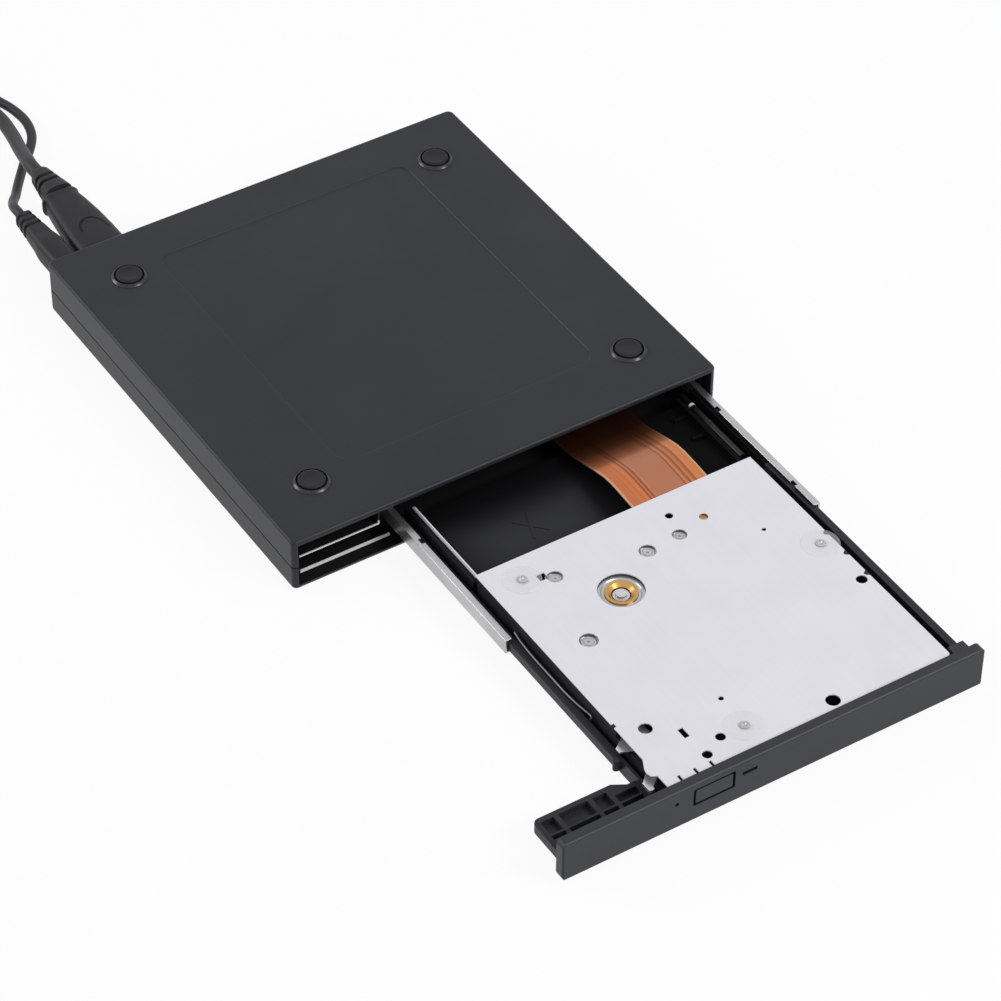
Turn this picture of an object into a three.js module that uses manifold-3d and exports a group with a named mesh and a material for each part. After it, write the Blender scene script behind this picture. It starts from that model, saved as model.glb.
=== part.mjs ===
// External slim optical disc drive, lying on its top cover with the tray pulled right out.
// Millimetres, +Z up. The tray slides out toward -Y. The origin is the centre of the face it lies on.
import * as THREE from "three";
import { mergeVertices } from "three/addons/utils/BufferGeometryUtils.js";
import Module from "manifold-3d";

const wasm = await Module();
wasm.setup();

// Driving dimensions

const OVERRUN = 1; // how far a cutting solid runs past the face it cuts
const SEAT = 0.05; // between pieces that rest on each other
const GAP = 0.3; // between pieces that move past each other

const CASE = {
  sideRoom: 1.2,
  rearRoom: 6.4,
  height: 17.1,
  wall: 1.6,
  plate: 1.6,
  rearCorner: 2,
  frontCorner: 1.4,
  faceEdge: 0.9,
  parting: 7.7,
  partingGap: 0.3,
  tongueHeight: 1.2,
  tongueThickness: 0.7,
};

// Sides of the label's recess, each from the case's edge beside it
const LABEL = { left: 27, right: 25.5, front: 20.25, rear: 14.75, depth: 0.35, corner: 5 };

const FOOT = {
  fromSide: 16.6,
  fromEnd: 18.35,
  diameter: 8.9,
  collar: 10.8,
  collarRise: 0.4,
  pocketGap: 0.4,
  pocketDepth: 0.9,
  top: 18.3,
  edge: 0.6,
};

const DRIVE = {
  width: 128.4,
  offset: 0.6,
  depth: 126,
  height: 12.7,
  sheet: 0.3,
  recess: 3.5,
  step: 24.7,
  hem: 0.75,
  wingTop: 8,
  windowMargin: 1,
  corner: 1,
  grooveHalf: 2,
  grooveInset: 14,
  dishRim: 2,
};

const RAIL = {
  fromLeft: 28.3,
  depth: 2,
  web: 0.6,
  bottom: 5.3,
  height: 4.6,
  length: 106.2,
  outside: 53.5,
  notch: 1,
  notchShares: { left: [0.187], right: [0.15, 0.813] },
};

const GUIDE = { frontSetBack: 17.2, length: 59, lip: 0.8, web: 0.35, grip: 1.8 };

const TRAY = {
  travel: 124.3,
  closedGap: 0.65,
  rearInside: 2.8,
  rim: 2.6,
  web: 4.4,
  floor: 5.8,
  sideWall: 0.9,
  bayWall: 1.4,
  beam: 2.2,
  beamClearance: 0.3,
  discRadius: 61,
  knobRadius: 0.9,
  knobFromBezel: 19.2,
  beamFromBezel: 6.4,
  rearWallTop: 11.2,
  ribHeight: 1,
  ribWidth: 1,
  ribReach: 5.6,
  ribFromRear: 5.65,
  ribPitch: 8.8,
  ribCount: 2,
};

const BEZEL = { inset: 0.1, thickness: 3, bottom: 1.8, height: 12.85, corner: 1.6, edge: 0.4 };

const WING = {
  fromLeft: 1.2,
  reach: 28.1,
  depth: 13.8,
  top: 7.3,
  rim: 1.6,
  pocketFloor: 5.4,
  rib: 1.4,
  corner: 2,
  chamfer: 3.6,
  chamferDrop: 2.1,
  slotFromBezel: 6.3,
  slotWidth: 1.3,
  slotInset: 0.6,
  ribShares: [0.227, 0.6, 0.8],
};

const PLATE = {
  fromLeft: 32.6,
  fromRight: 8.9,
  front: 0.6,
  depth: 88.8,
  sheet: 0.4,
  corner: 1.2,
  spindleHole: 6.35,
};
// The ear on its left side, and shares of the ear's reach and length from its rear end to its front
PLATE.ear = { fromFront: 4.5, reach: 1.8, length: 6.7 };
PLATE.earShares = [
  [0, 1],
  [0.85, 0.55],
  [1, 0.34],
  [0.8, 0.12],
  [0, 0],
];
PLATE.nick = { fromFront: 23.9, width: 1.4, depth: 0.8 };
PLATE.scallop = { radius: 2.2, fromRear: 35, pitch: 9, count: 3 };
PLATE.edgeSlot = { fromLeft: 4.3, pitch: 4.7, count: 3, width: 0.8, depth: 2 };
// Round holes: shares of the plate's width from its left, of its depth from its front,
// and of the spindle hole's radius
PLATE.holeShares = [
  [0.638, 0.913, 0.18],
  [0.725, 0.856, 0.2],
  [0.618, 0.829, 0.33],
  [0.496, 0.821, 0.38],
  [0.847, 0.715, 0.1],
  [0.968, 0.389, 0.25],
  [0.199, 0.873, 0.35],
  [0.136, 0.6, 0.41],
  [0.328, 0.206, 0.12],
  [0.598, 0.032, 0.32],
  [0.075, 0.221, 0.3],
  [0.239, 0.083, 0.22],
  [0.167, 0.046, 0.22],
];
// Square holes: the same, then shares of the spindle hole's radius for half their width and depth
PLATE.slotShares = [
  [0.166, 0.892, 0.19, 0.19],
  [0.158, 0.15, 0.12, 0.27],
];

const WASHER = { radius: 5.25, thickness: 0.45, recess: 2.4, recessDepth: 0.2 };
// Shares of the plate's width and depth
WASHER.placeShares = [
  [0.954, 0.575],
  [0.108, 0.911],
  [0.322, 0.082],
];

const SPINDLE = {
  acrossShare: 0.33487,
  alongShare: 0.72297,
  opening: 17,
  rotor: 12.9,
  seat: 14,
  hub: 7.4,
  hubDrop: 1.5,
  bearing: 4.5,
  bearingBore: 2.6,
  cap: 1.6,
  flange: 15.2,
};

// Everything on the traverse lies along the line the pickup runs on, u, and across it, v
const TRAVERSE = {
  turn: -50,
  base: 6.4,
  sheet: 0.8,
  near: 16,
  wallRoom: 0.5,
  halfWidth: 14.5,
  screwSide: 19.8,
  window: 9,
  windowNear: 17,
  windowCorner: 1,
  rim: 3.4,
  tabHeight: 4.4,
  rodOffset: 11,
  rodRadius: 1.2,
  rodHeight: 9.9,
  screwOffset: 16.6,
  screwRadius: 1.1,
};

const PICKUP = { start: 24, length: 11, height: 4.6, bore: 0.3, side: 13.2, lens: 2.2, lensDrop: 0.7 };

const FEED = { radius: 2.9, length: 6.5 };

const BUTTON = {
  fromLeft: 38.4,
  width: 11.6,
  bottom: 7.4,
  top: 12.2,
  gap: 0.45,
  travel: 0.8,
  stem: 1.6,
  lip: 0.8,
};
const LIGHT = { fromLeft: 52.7, width: 4.3, bottom: 9.8, top: 10.8, length: 7 };
const PINHOLE = { fromLeft: 33, z: 10.3, radius: 0.6 };

const BOARD = { thickness: 1, fromLeft: 36.6, fromRight: 8.8, depth: 33, chipHeight: 1.2, corner: 1 };
// Shares of the board's width and depth, then half of the chip's side as a share of the depth
BOARD.chipShares = [
  [0.157, 0.5, 0.21],
  [0.361, 0.35, 0.12],
  [0.084, 0.8, 0.076],
  [0.904, 0.3, 0.09],
];

const CONNECTOR = {
  fromRight: 56.8,
  width: 44,
  height: 3.55,
  depth: 6,
  proud: 3.4,
  endWall: 1.2,
  wall: 1.1,
};

const BRIDGE = { depth: 52 };

const SWITCH = { boardTop: 9, boardDepth: 9, pastSpindle: 4, half: 1.9, depth: 3, setBack: 2.2 };

const FLEX = {
  fromRight: 46.4,
  width: 24,
  thickness: 0.3,
  tuck: 2.6,
  notch: 1.2,
  grip: 6,
  rise: 1.4,
  sag: 6.7,
  steps: 40,
};
// Shares of the run from the plate to the main board, and of the sag
FLEX.curveShares = [
  [0, 0],
  [0.019, 0],
  [0.063, -0.07],
  [0.115, -0.1],
  [0.169, 0.164],
  [0.232, 0.55],
  [0.28, 0.7],
  [0.372, 0.88],
  [0.5, 1],
  [0.768, 0.85],
];

const LATCH = {
  fromLeft: 38.1,
  pivotFromBezel: 12,
  post: 1.5,
  arm: 3,
  thickness: 1.2,
  base: 10.4,
  reach: 8.5,
  claw: 1.6,
  magnetWidth: 6,
  magnetDepth: 10.8,
  magnetRod: 0.9,
  bracketRoot: 6.5,
  bracketReach: 4.2,
  bracketSheet: 0.6,
  bracketShares: [0.28, 0.52],
};

const EJECTOR = { radius: 1.1, length: 30, proud: 1.9 };

const WIRE = { diameter: 0.8, fromRear: 19.5, length: 34.5 };
// Shares of the length along the tray, and of the way out to the tray's side
WIRE.bowShares = [
  [0, 0],
  [0.1, 0.5],
  [0.33, 1],
  [0.54, 1],
  [0.74, 1],
  [0.91, 0.5],
  [1, 0],
];

const STRIP = { fromBay: 0.6, thickness: 0.35, bottom: 8, top: 12.3, length: 32.7, tip: 1.6 };

const PLUG = { z: 10.5 };

const USB = {
  fromSide: 20.2,
  cord: 4.3,
  bodyWidth: 13.4,
  bodyHeight: 8.2,
  bodyLength: 30.5,
  reliefLength: 12.5,
  reliefFront: 8.6,
  reliefEnd: 5.6,
  shellWidth: 7.6,
  shellHeight: 3,
  shellLength: 6.5,
  turns: 2.5,
  steps: 16,
};
// Of the overmould's half width, half height and length
USB.bodyShares = [
  [0.9, 0.9, 0],
  [0.97, 1, 0.08],
  [1.03, 1, 0.3],
  [1.04, 1, 0.6],
  [0.97, 0.97, 0.85],
  [0.93, 0.94, 0.92],
  [0.98, 0.94, 0.96],
  [0.76, 0.86, 1],
];

const DC = {
  fromSide: 7,
  cord: 2.9,
  body: 8.2,
  bodyLength: 15,
  reliefLength: 13,
  reliefEnd: 5,
  barrel: 3.4,
  barrelLength: 6.5,
  jackWall: 1.1,
  turns: 3.25,
  steps: 34,
};
DC.bodyShares = [
  [0.9, 0.9, 0],
  [1, 1, 0.1],
  [1, 1, 0.7],
  [0.86, 0.86, 1],
];

const HOST = {
  width: 16,
  height: 8.2,
  bodyLength: 22,
  shellWidth: 12,
  shellHeight: 4.5,
  shellLength: 14,
  shellWall: 0.4,
  reliefLength: 12,
  lead: 34,
  leadSteps: 6,
};
HOST.leadShares = [0, 0.12, 0.3, 0.5, 0.7, 0.88, 1];
HOST.bodyShares = [
  [0.62, 0.75, 0.04],
  [0.93, 0.95, 0.2],
  [1, 1, 0.4],
  [1, 1, 1],
];

// Where a ring of a strain relief starts and ends its groove and its land, and how deep the groove is
const RELIEF = { pitchShares: [0.1, 0.4, 0.5, 1], grooveShare: 0.82 };
const SQUARENESS = 0.6; // exponent of an overmould's rounded section, 1 for an ellipse

const COIL = {
  gap: 0.55,
  tieGap: 0.2,
  ties: 0.6,
  tieWidth: 4,
  stepsPerTurn: 24,
  sides: 6,
  acrossShare: 5.45,
};

// Cord routes from the strain relief to the coil, chosen by hand: across from the socket's middle,
// behind the case's rear, and the height
const USB_ROUTE = [
  [0.7, 52.75, 9.7],
  [1.8, 57.75, 8.3],
  [3.1, 63.25, 6.8],
  [4.6, 69.25, 5.4],
  [5.8, 75.25, 4.2],
  [6.5, 81.25, 3.6],
  [6, 88.25, 3.3],
  [3.8, 95.75, 3.25],
  [-0.2, 102.75, 3.25],
  [-2.5, 109.75, 3.25],
];
const DC_ROUTE = [
  [0.7, 35.85, 9.2],
  [2, 39.25, 7.2],
  [4, 43.25, 5.2],
  [6.6, 47.25, 3.2],
  [9.6, 52.05, 2],
  [13, 56.85, 1.5],
  [17.2, 62.25, 1.5],
  [21.4, 66.95, 1.5],
  [25, 72.65, 1.5],
  [26.7, 79.65, 1.5],
  [26.1, 87.25, 1.5],
  [24, 94.25, 1.6],
  [22, 103.25, 1.8],
  [21.2, 115.25, 2.1],
  [20.4, 129.25, 2.5],
  [20, 145.25, 2.5],
  [20, 157.25, 2.5],
];

// Heights and places that the driving dimensions give

const halfWidth = DRIVE.width / 2 + CASE.sideRoom + CASE.wall;
const caseDepth = DRIVE.recess + DRIVE.depth + CASE.rearRoom + CASE.wall;
const mouthY = -caseDepth / 2;
const rearY = caseDepth / 2;
const innerX = halfWidth - CASE.wall;
const innerRear = rearY - CASE.wall;
const innerTop = CASE.height - CASE.plate;
const lowerPlate = CASE.plate;

const driveBottom = lowerPlate + GAP;
const driveTop = driveBottom + DRIVE.height;
const driveFloor = driveBottom + DRIVE.sheet;
const driveCeiling = driveTop - DRIVE.sheet;
const driveLeft = DRIVE.offset - DRIVE.width / 2;
const driveRight = DRIVE.offset + DRIVE.width / 2;
const driveFront = mouthY + DRIVE.recess;
const driveRear = driveFront + DRIVE.depth;
const stepX = driveLeft + DRIVE.step;

const railBottom = RAIL.bottom;
const railTop = RAIL.bottom + RAIL.height;
const railFront = mouthY - RAIL.outside;
const railRear = railFront + RAIL.length;
const guideWebRight = driveRight - DRIVE.sheet - SEAT - GUIDE.web;
const railOuterRight = guideWebRight - GAP;
const railOuterLeft = driveLeft + RAIL.fromLeft;
const beamOuterLeft = railOuterLeft + RAIL.web + TRAY.beamClearance;
const beamOuterRight = railOuterRight - RAIL.web - TRAY.beamClearance;
const beamBottom = railBottom + RAIL.web + TRAY.beamClearance;
const beamTop = railTop - RAIL.web - TRAY.beamClearance;

const bezelBack = driveFront - TRAY.closedGap - TRAY.travel;
const bezelFront = bezelBack - BEZEL.thickness;
const bezelTop = BEZEL.bottom + BEZEL.height;
const trayFront = bezelBack + SEAT;
const trayRear = mouthY + TRAY.rearInside;
const trayLeft = beamOuterLeft + TRAY.beam - TRAY.sideWall;
const trayRight = beamOuterRight - TRAY.beam + TRAY.sideWall;

const washerTop = driveCeiling - GAP / 2;
const plateTop = washerTop - WASHER.thickness - SEAT;
const plateBottom = plateTop - PLATE.sheet;
const plateFront = bezelBack + PLATE.front;
const plateRear = plateFront + PLATE.depth;
const bayTop = plateBottom - SEAT;
const plateLeft = driveLeft + PLATE.fromLeft;
const plateRight = driveRight - PLATE.fromRight;
const bay = {
  left: plateLeft + PLATE.sheet,
  right: plateRight + PLATE.sheet,
  front: trayFront,
  rear: plateRear + PLATE.sheet,
};
const cavity = {
  left: bay.left + TRAY.bayWall,
  right: bay.right - TRAY.bayWall,
  front: bay.front + TRAY.bayWall,
  rear: bay.rear - TRAY.bayWall,
};
const spindleX = plateLeft + SPINDLE.acrossShare * (plateRight - plateLeft);
const spindleY = plateFront + SPINDLE.alongShare * PLATE.depth;

// The traverse reaches to the bay's right wall or its front wall, whichever is nearer
const traverseTurn = (TRAVERSE.turn * Math.PI) / 180;
const sine = Math.sin(-traverseTurn);
const cosine = Math.cos(traverseTurn);
const traverseFar = Math.min(
  (cavity.right - spindleX - TRAVERSE.wallRoom - TRAVERSE.screwSide * sine) / cosine,
  (spindleY - cavity.front - TRAVERSE.wallRoom - TRAVERSE.halfWidth * cosine) / sine,
);

const wingLeft = driveLeft + WING.fromLeft;
const wingRight = driveLeft + WING.reach;
const buttonLeft = driveLeft + BUTTON.fromLeft;
const buttonRight = buttonLeft + BUTTON.width;
const lightLeft = driveLeft + LIGHT.fromLeft;
const lightRight = lightLeft + LIGHT.width;
const pinholeX = driveLeft + PINHOLE.fromLeft;
const latchPivotX = driveLeft + LATCH.fromLeft;
const stripX = bay.left + STRIP.fromBay;
const flexLeft = driveRight - FLEX.fromRight;
const usbX = -halfWidth + USB.fromSide;
const dcX = -halfWidth + DC.fromSide;

// Solids

const MERGE = 1e-4;
const ARC_STEPS = 5;

// A closed solid from a geometry, its shared vertices merged and its collapsed faces dropped
function solidFrom(geometry) {
  const loose = geometry.index ? geometry.toNonIndexed() : geometry;
  const bare = new THREE.BufferGeometry().setAttribute("position", loose.getAttribute("position"));
  const merged = mergeVertices(bare, MERGE);
  const corners = merged.index.array;
  const kept = [];
  for (let i = 0; i < corners.length; i += 3) {
    const [a, b, c] = [corners[i], corners[i + 1], corners[i + 2]];
    if (a !== b && b !== c && c !== a) kept.push(a, b, c);
  }
  return new wasm.Manifold(
    new wasm.Mesh({
      numProp: 3,
      vertProperties: merged.attributes.position.array,
      triVerts: new Uint32Array(kept),
    }),
  );
}

// The three.js geometry of a solid
function geometryOf(solid) {
  const mesh = solid.getMesh();
  const geometry = new THREE.BufferGeometry();
  geometry.setAttribute("position", new THREE.BufferAttribute(mesh.vertProperties, 3));
  geometry.setIndex(new THREE.BufferAttribute(mesh.triVerts, 1));
  geometry.computeVertexNormals();
  return geometry;
}

const join = (first, ...others) => others.reduce((sum, next) => sum.add(next), first);
const cut = (first, ...others) => others.reduce((rest, next) => rest.subtract(next), first);

function box(x0, x1, y0, y1, z0, z1) {
  const geometry = new THREE.BoxGeometry(x1 - x0, y1 - y0, z1 - z0);
  geometry.translate((x0 + x1) / 2, (y0 + y1) / 2, (z0 + z1) / 2);
  return solidFrom(geometry);
}

// A rectangle with its corners rounded: front left, front right, rear right, rear left
function rect(x0, x1, y0, y1, corners = 0) {
  const [fl, fr, rr, rl] = Array.isArray(corners) ? corners : [corners, corners, corners, corners];
  const shape = new THREE.Shape();
  shape.moveTo(x0 + fl, y0);
  shape.lineTo(x1 - fr, y0);
  if (fr) shape.absarc(x1 - fr, y0 + fr, fr, -Math.PI / 2, 0, false);
  shape.lineTo(x1, y1 - rr);
  if (rr) shape.absarc(x1 - rr, y1 - rr, rr, 0, Math.PI / 2, false);
  shape.lineTo(x0 + rl, y1);
  if (rl) shape.absarc(x0 + rl, y1 - rl, rl, Math.PI / 2, Math.PI, false);
  shape.lineTo(x0, y0 + fl);
  if (fl) shape.absarc(x0 + fl, y0 + fl, fl, Math.PI, Math.PI * 1.5, false);
  return shape;
}

const outline = (points) => new THREE.Shape(points.map(([x, y]) => new THREE.Vector2(x, y)));

function prism(shape, bottom, top, steps = ARC_STEPS) {
  const depth = top - bottom;
  const geometry = new THREE.ExtrudeGeometry(shape, { depth, bevelEnabled: false, curveSegments: steps });
  geometry.translate(0, 0, bottom);
  return solidFrom(geometry);
}

// A prism with both of its rims rounded over
function softPrism(shape, bottom, top, edge, steps = ARC_STEPS) {
  const geometry = new THREE.ExtrudeGeometry(shape, {
    depth: top - bottom - 2 * edge,
    bevelEnabled: true,
    bevelThickness: edge,
    bevelSize: edge,
    bevelOffset: -edge,
    bevelSegments: 3,
    curveSegments: steps,
  });
  geometry.translate(0, 0, bottom + edge);
  return solidFrom(geometry);
}

// A profile drawn in y and z, carried along x
function alongX(shape, x0, x1, steps = ARC_STEPS) {
  const depth = x1 - x0;
  const geometry = new THREE.ExtrudeGeometry(shape, { depth, bevelEnabled: false, curveSegments: steps });
  geometry.applyMatrix4(new THREE.Matrix4().set(0, 0, 1, x0, 1, 0, 0, 0, 0, 1, 0, 0, 0, 0, 0, 1));
  return solidFrom(geometry);
}

// A profile drawn in x and z, carried along y
function alongY(shape, y0, y1, steps = ARC_STEPS) {
  const depth = y1 - y0;
  const geometry = new THREE.ExtrudeGeometry(shape, { depth, bevelEnabled: false, curveSegments: steps });
  geometry.rotateX(Math.PI / 2);
  geometry.translate(0, y1, 0);
  return solidFrom(geometry);
}

// A round rod between two points
function rod(from, to, radius, sides = 12) {
  const start = new THREE.Vector3(...from);
  const run = new THREE.Vector3(...to).sub(start);
  const geometry = new THREE.CylinderGeometry(radius, radius, run.length(), sides);
  geometry.translate(0, run.length() / 2, 0);
  const up = new THREE.Vector3(0, 1, 0);
  geometry.applyQuaternion(new THREE.Quaternion().setFromUnitVectors(up, run.clone().normalize()));
  geometry.translate(start.x, start.y, start.z);
  return solidFrom(geometry);
}

const peg = (x, y, z0, z1, radius, sides) => rod([x, y, z0], [x, y, z1], radius, sides);

// A profile of radius and height, listed upwards, turned about an upright axis
function turned(profile, sides = 24, x = 0, y = 0) {
  const points = profile.map(([radius, height]) => new THREE.Vector2(radius, height));
  const geometry = new THREE.LatheGeometry(points, sides);
  geometry.rotateX(Math.PI / 2);
  geometry.translate(x, y, 0);
  return solidFrom(geometry);
}

// A tube of a round cord along a smooth curve through points
function cordTube(points, diameter, sides, steps) {
  const curve = new THREE.CatmullRomCurve3(points.map((p) => new THREE.Vector3(...p)), false, "centripetal");
  const section = outline(
    Array.from({ length: sides }, (_, i) => {
      const angle = (2 * Math.PI * (i + 1 / 2)) / sides;
      return [(Math.cos(angle) * diameter) / 2, (Math.sin(angle) * diameter) / 2];
    }),
  );
  return solidFrom(new THREE.ExtrudeGeometry(section, { steps, bevelEnabled: false, extrudePath: curve }));
}

// Materials

const finish = (color, roughness, metalness = 0) =>
  new THREE.MeshStandardMaterial({ color, roughness, metalness });
const finishes = {
  shell: finish(0x3c3d41, 0.62),
  bezel: finish(0x4b4d52, 0.5),
  tray: finish(0x17181a, 0.45),
  rubber: finish(0x1c1c1e, 0.85),
  cord: finish(0x2a2b2e, 0.6),
  plateSteel: finish(0xdcdbe0, 0.35, 0.6),
  steel: finish(0xb8b8ba, 0.4, 0.9),
  darkSteel: finish(0x6f7072, 0.45, 0.9),
  brass: finish(0xc79a3c, 0.35, 0.9),
  board: finish(0x1f4a2c, 0.6),
  copper: finish(0xc87850, 0.45),
  clear: finish(0xe4e8e8, 0.15),
  glass: finish(0x9fb4c8, 0.1),
};

// Casing

const caseOutline = (inset, front) =>
  rect(-halfWidth + inset, halfWidth - inset, front, rearY - inset, [
    CASE.frontCorner,
    CASE.frontCorner,
    CASE.rearCorner - inset,
    CASE.rearCorner - inset,
  ]);

// One half of the case: a plate with walls on three sides, open toward the mouth
function shellHalf(outer, inner, edge, open) {
  const body = softPrism(caseOutline(0, mouthY), outer.low, outer.high, edge);
  const radius = CASE.rearCorner - CASE.wall;
  const hollow = prism(
    rect(-innerX, innerX, mouthY - OVERRUN, innerRear, [0, 0, radius, radius]),
    inner.low,
    inner.high,
  );
  return cut(body, hollow, open);
}

function socketHoles() {
  const usbHalf = USB.shellWidth / 2 + 2 * GAP;
  const usbRise = USB.shellHeight / 2 + 2 * GAP;
  const dcHalf = DC.barrel / 2 + 2 * GAP;
  const usb = alongY(
    rect(usbX - usbHalf, usbX + usbHalf, PLUG.z - usbRise, PLUG.z + usbRise, GAP),
    innerRear - OVERRUN,
    rearY + OVERRUN,
    2,
  );
  const dc = rod([dcX, innerRear - OVERRUN, PLUG.z], [dcX, rearY + OVERRUN, PLUG.z], dcHalf, 20);
  return join(usb, dc);
}

const footPlaces = [-1, 1].flatMap((sx) =>
  [-1, 1].map((sy) => [sx * (halfWidth - FOOT.fromSide), sy * (rearY - FOOT.fromEnd)]),
);

function bottomShell() {
  const low = CASE.parting + CASE.partingGap;
  const far = halfWidth + OVERRUN;
  let shell = shellHalf(
    { low: low - CASE.faceEdge, high: CASE.height },
    { low: low - CASE.faceEdge - OVERRUN, high: innerTop },
    CASE.faceEdge,
    box(-far, far, mouthY - OVERRUN, rearY + OVERRUN, low - CASE.faceEdge - OVERRUN, low),
  );
  const rebate = CASE.tongueThickness + CASE.partingGap;
  shell = cut(
    shell,
    prism(
      rect(-innerX - rebate, innerX + rebate, mouthY + CASE.wall, innerRear + rebate, [
        0,
        0,
        CASE.rearCorner - CASE.wall,
        CASE.rearCorner - CASE.wall,
      ]),
      low - OVERRUN,
      low + CASE.tongueHeight,
    ),
  );
  const label = rect(
    LABEL.left - halfWidth,
    halfWidth - LABEL.right,
    mouthY + LABEL.front,
    rearY - LABEL.rear,
    LABEL.corner,
  );
  shell = cut(shell, prism(label, CASE.height - LABEL.depth, CASE.height + OVERRUN));
  for (const [x, y] of footPlaces) {
    const collar = turned(
      [
        [0, CASE.height - CASE.plate / 2],
        [FOOT.collar / 2 + FOOT.collarRise / 2, CASE.height - CASE.plate / 2],
        [FOOT.collar / 2 + FOOT.collarRise / 2, CASE.height],
        [FOOT.collar / 2, CASE.height + FOOT.collarRise],
        [0, CASE.height + FOOT.collarRise],
      ],
      20,
      x,
      y,
    );
    const pocket = peg(
      x,
      y,
      CASE.height - FOOT.pocketDepth,
      CASE.height + FOOT.collarRise + OVERRUN,
      FOOT.diameter / 2 + FOOT.pocketGap,
      20,
    );
    shell = cut(join(shell, collar), pocket);
  }
  // Low ribs inside that hold the drive down
  for (const share of [-1 / 2, 0, 1 / 2]) {
    const x = DRIVE.offset + share * innerX;
    const half = CASE.wall / 2;
    const [front, rear] = [driveFront + CASE.wall, driveRear - CASE.wall];
    shell = join(shell, box(x - half, x + half, front, rear, driveTop + GAP, innerTop + SEAT));
  }
  // Pegs that carry the bridge board
  for (const y of boardPegs()) {
    shell = join(shell, peg(bridge.x, y, bridge.top + SEAT, innerTop + SEAT, CASE.wall, 10));
  }
  return cut(shell, socketHoles());
}

function topShell() {
  const far = halfWidth + OVERRUN;
  const high = CASE.parting;
  const edge = CASE.faceEdge * 1.5;
  let shell = shellHalf(
    { low: 0, high: high + edge },
    { low: lowerPlate, high: high + edge + OVERRUN },
    edge,
    box(-far, far, mouthY - OVERRUN, rearY + OVERRUN, high, high + edge + OVERRUN),
  );
  const root = high - CASE.tongueHeight;
  const radius = CASE.rearCorner - CASE.wall;
  const outer = rect(
    -innerX - CASE.tongueThickness,
    innerX + CASE.tongueThickness,
    mouthY + CASE.wall + GAP,
    innerRear + CASE.tongueThickness,
    [0, 0, radius, radius],
  );
  const inner = rect(-innerX, innerX, mouthY - OVERRUN, innerRear, [0, 0, radius, radius]);
  const tip = high + CASE.tongueHeight;
  const tongue = cut(prism(outer, root, tip), prism(inner, root - OVERRUN, tip + OVERRUN));
  return cut(join(shell, tongue), socketHoles());
}

function foot() {
  const base = CASE.height - FOOT.pocketDepth + SEAT;
  const radius = FOOT.diameter / 2;
  return turned(
    [
      [0, base],
      [radius, base],
      [radius, FOOT.top - FOOT.edge],
      [radius - FOOT.edge * 0.3, FOOT.top - FOOT.edge * 0.3],
      [radius - FOOT.edge, FOOT.top],
      [0, FOOT.top],
    ],
    20,
  );
}

// Boards and sockets behind the drive's wing

const bridge = {
  left: driveLeft + CASE.wall,
  right: stepX - GAP,
  rear: innerRear - GAP,
  bottom: PLUG.z + USB.shellHeight / 2 + GAP + DRIVE.sheet + SEAT,
};
bridge.x = (bridge.left + bridge.right) / 2;
bridge.top = bridge.bottom + BOARD.thickness;
bridge.front = bridge.rear - BRIDGE.depth;

function boardPegs() {
  return [1 / 8, 5 / 8].map((share) => bridge.front + share * BRIDGE.depth);
}

function bridgeBoard() {
  const { left, right, front, rear, bottom, top } = bridge;
  const board = prism(rect(left, right, front, rear, CASE.wall / 2), bottom, top, 2);
  const chipHalf = BOARD.chipHeight * 3;
  const chipY = (bridge.front + bridge.rear) / 2;
  const chip = box(
    bridge.x - chipHalf,
    bridge.x + chipHalf,
    chipY - chipHalf,
    chipY + chipHalf,
    bridge.bottom - BOARD.chipHeight,
    bridge.bottom + SEAT,
  );
  const crystal = box(
    bridge.x - chipHalf,
    bridge.x,
    chipY - 2 * chipHalf,
    chipY - 2 * chipHalf + BOARD.chipHeight,
    bridge.bottom - BOARD.chipHeight,
    bridge.bottom + SEAT,
  );
  return join(board, chip, crystal);
}

// A metal socket shell, open toward the rear
function usbSocket() {
  const wall = DRIVE.sheet;
  const halfW = USB.shellWidth / 2 + GAP + wall;
  const halfH = USB.shellHeight / 2 + GAP + wall;
  const front = bridge.rear - USB.shellLength - 2 * wall;
  const section = (w, h) => rect(usbX - w, usbX + w, PLUG.z - h, PLUG.z + h, GAP);
  const outer = alongY(section(halfW, halfH), front, bridge.rear, 2);
  return cut(outer, alongY(section(halfW - wall, halfH - wall), front + wall, bridge.rear + OVERRUN, 2));
}

function dcJack() {
  const half = DC.barrel / 2 + GAP + DC.jackWall;
  const front = bridge.rear - DC.barrelLength - CASE.wall;
  const body = box(dcX - half, dcX + half, front, bridge.rear, DRIVE.wingTop + GAP, bridge.bottom - SEAT);
  const bore = rod(
    [dcX, bridge.rear - DC.barrelLength - GAP, PLUG.z],
    [dcX, bridge.rear + OVERRUN, PLUG.z],
    DC.barrel / 2 + GAP / 2,
    16,
  );
  return cut(body, bore);
}

// Drive housing

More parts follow.
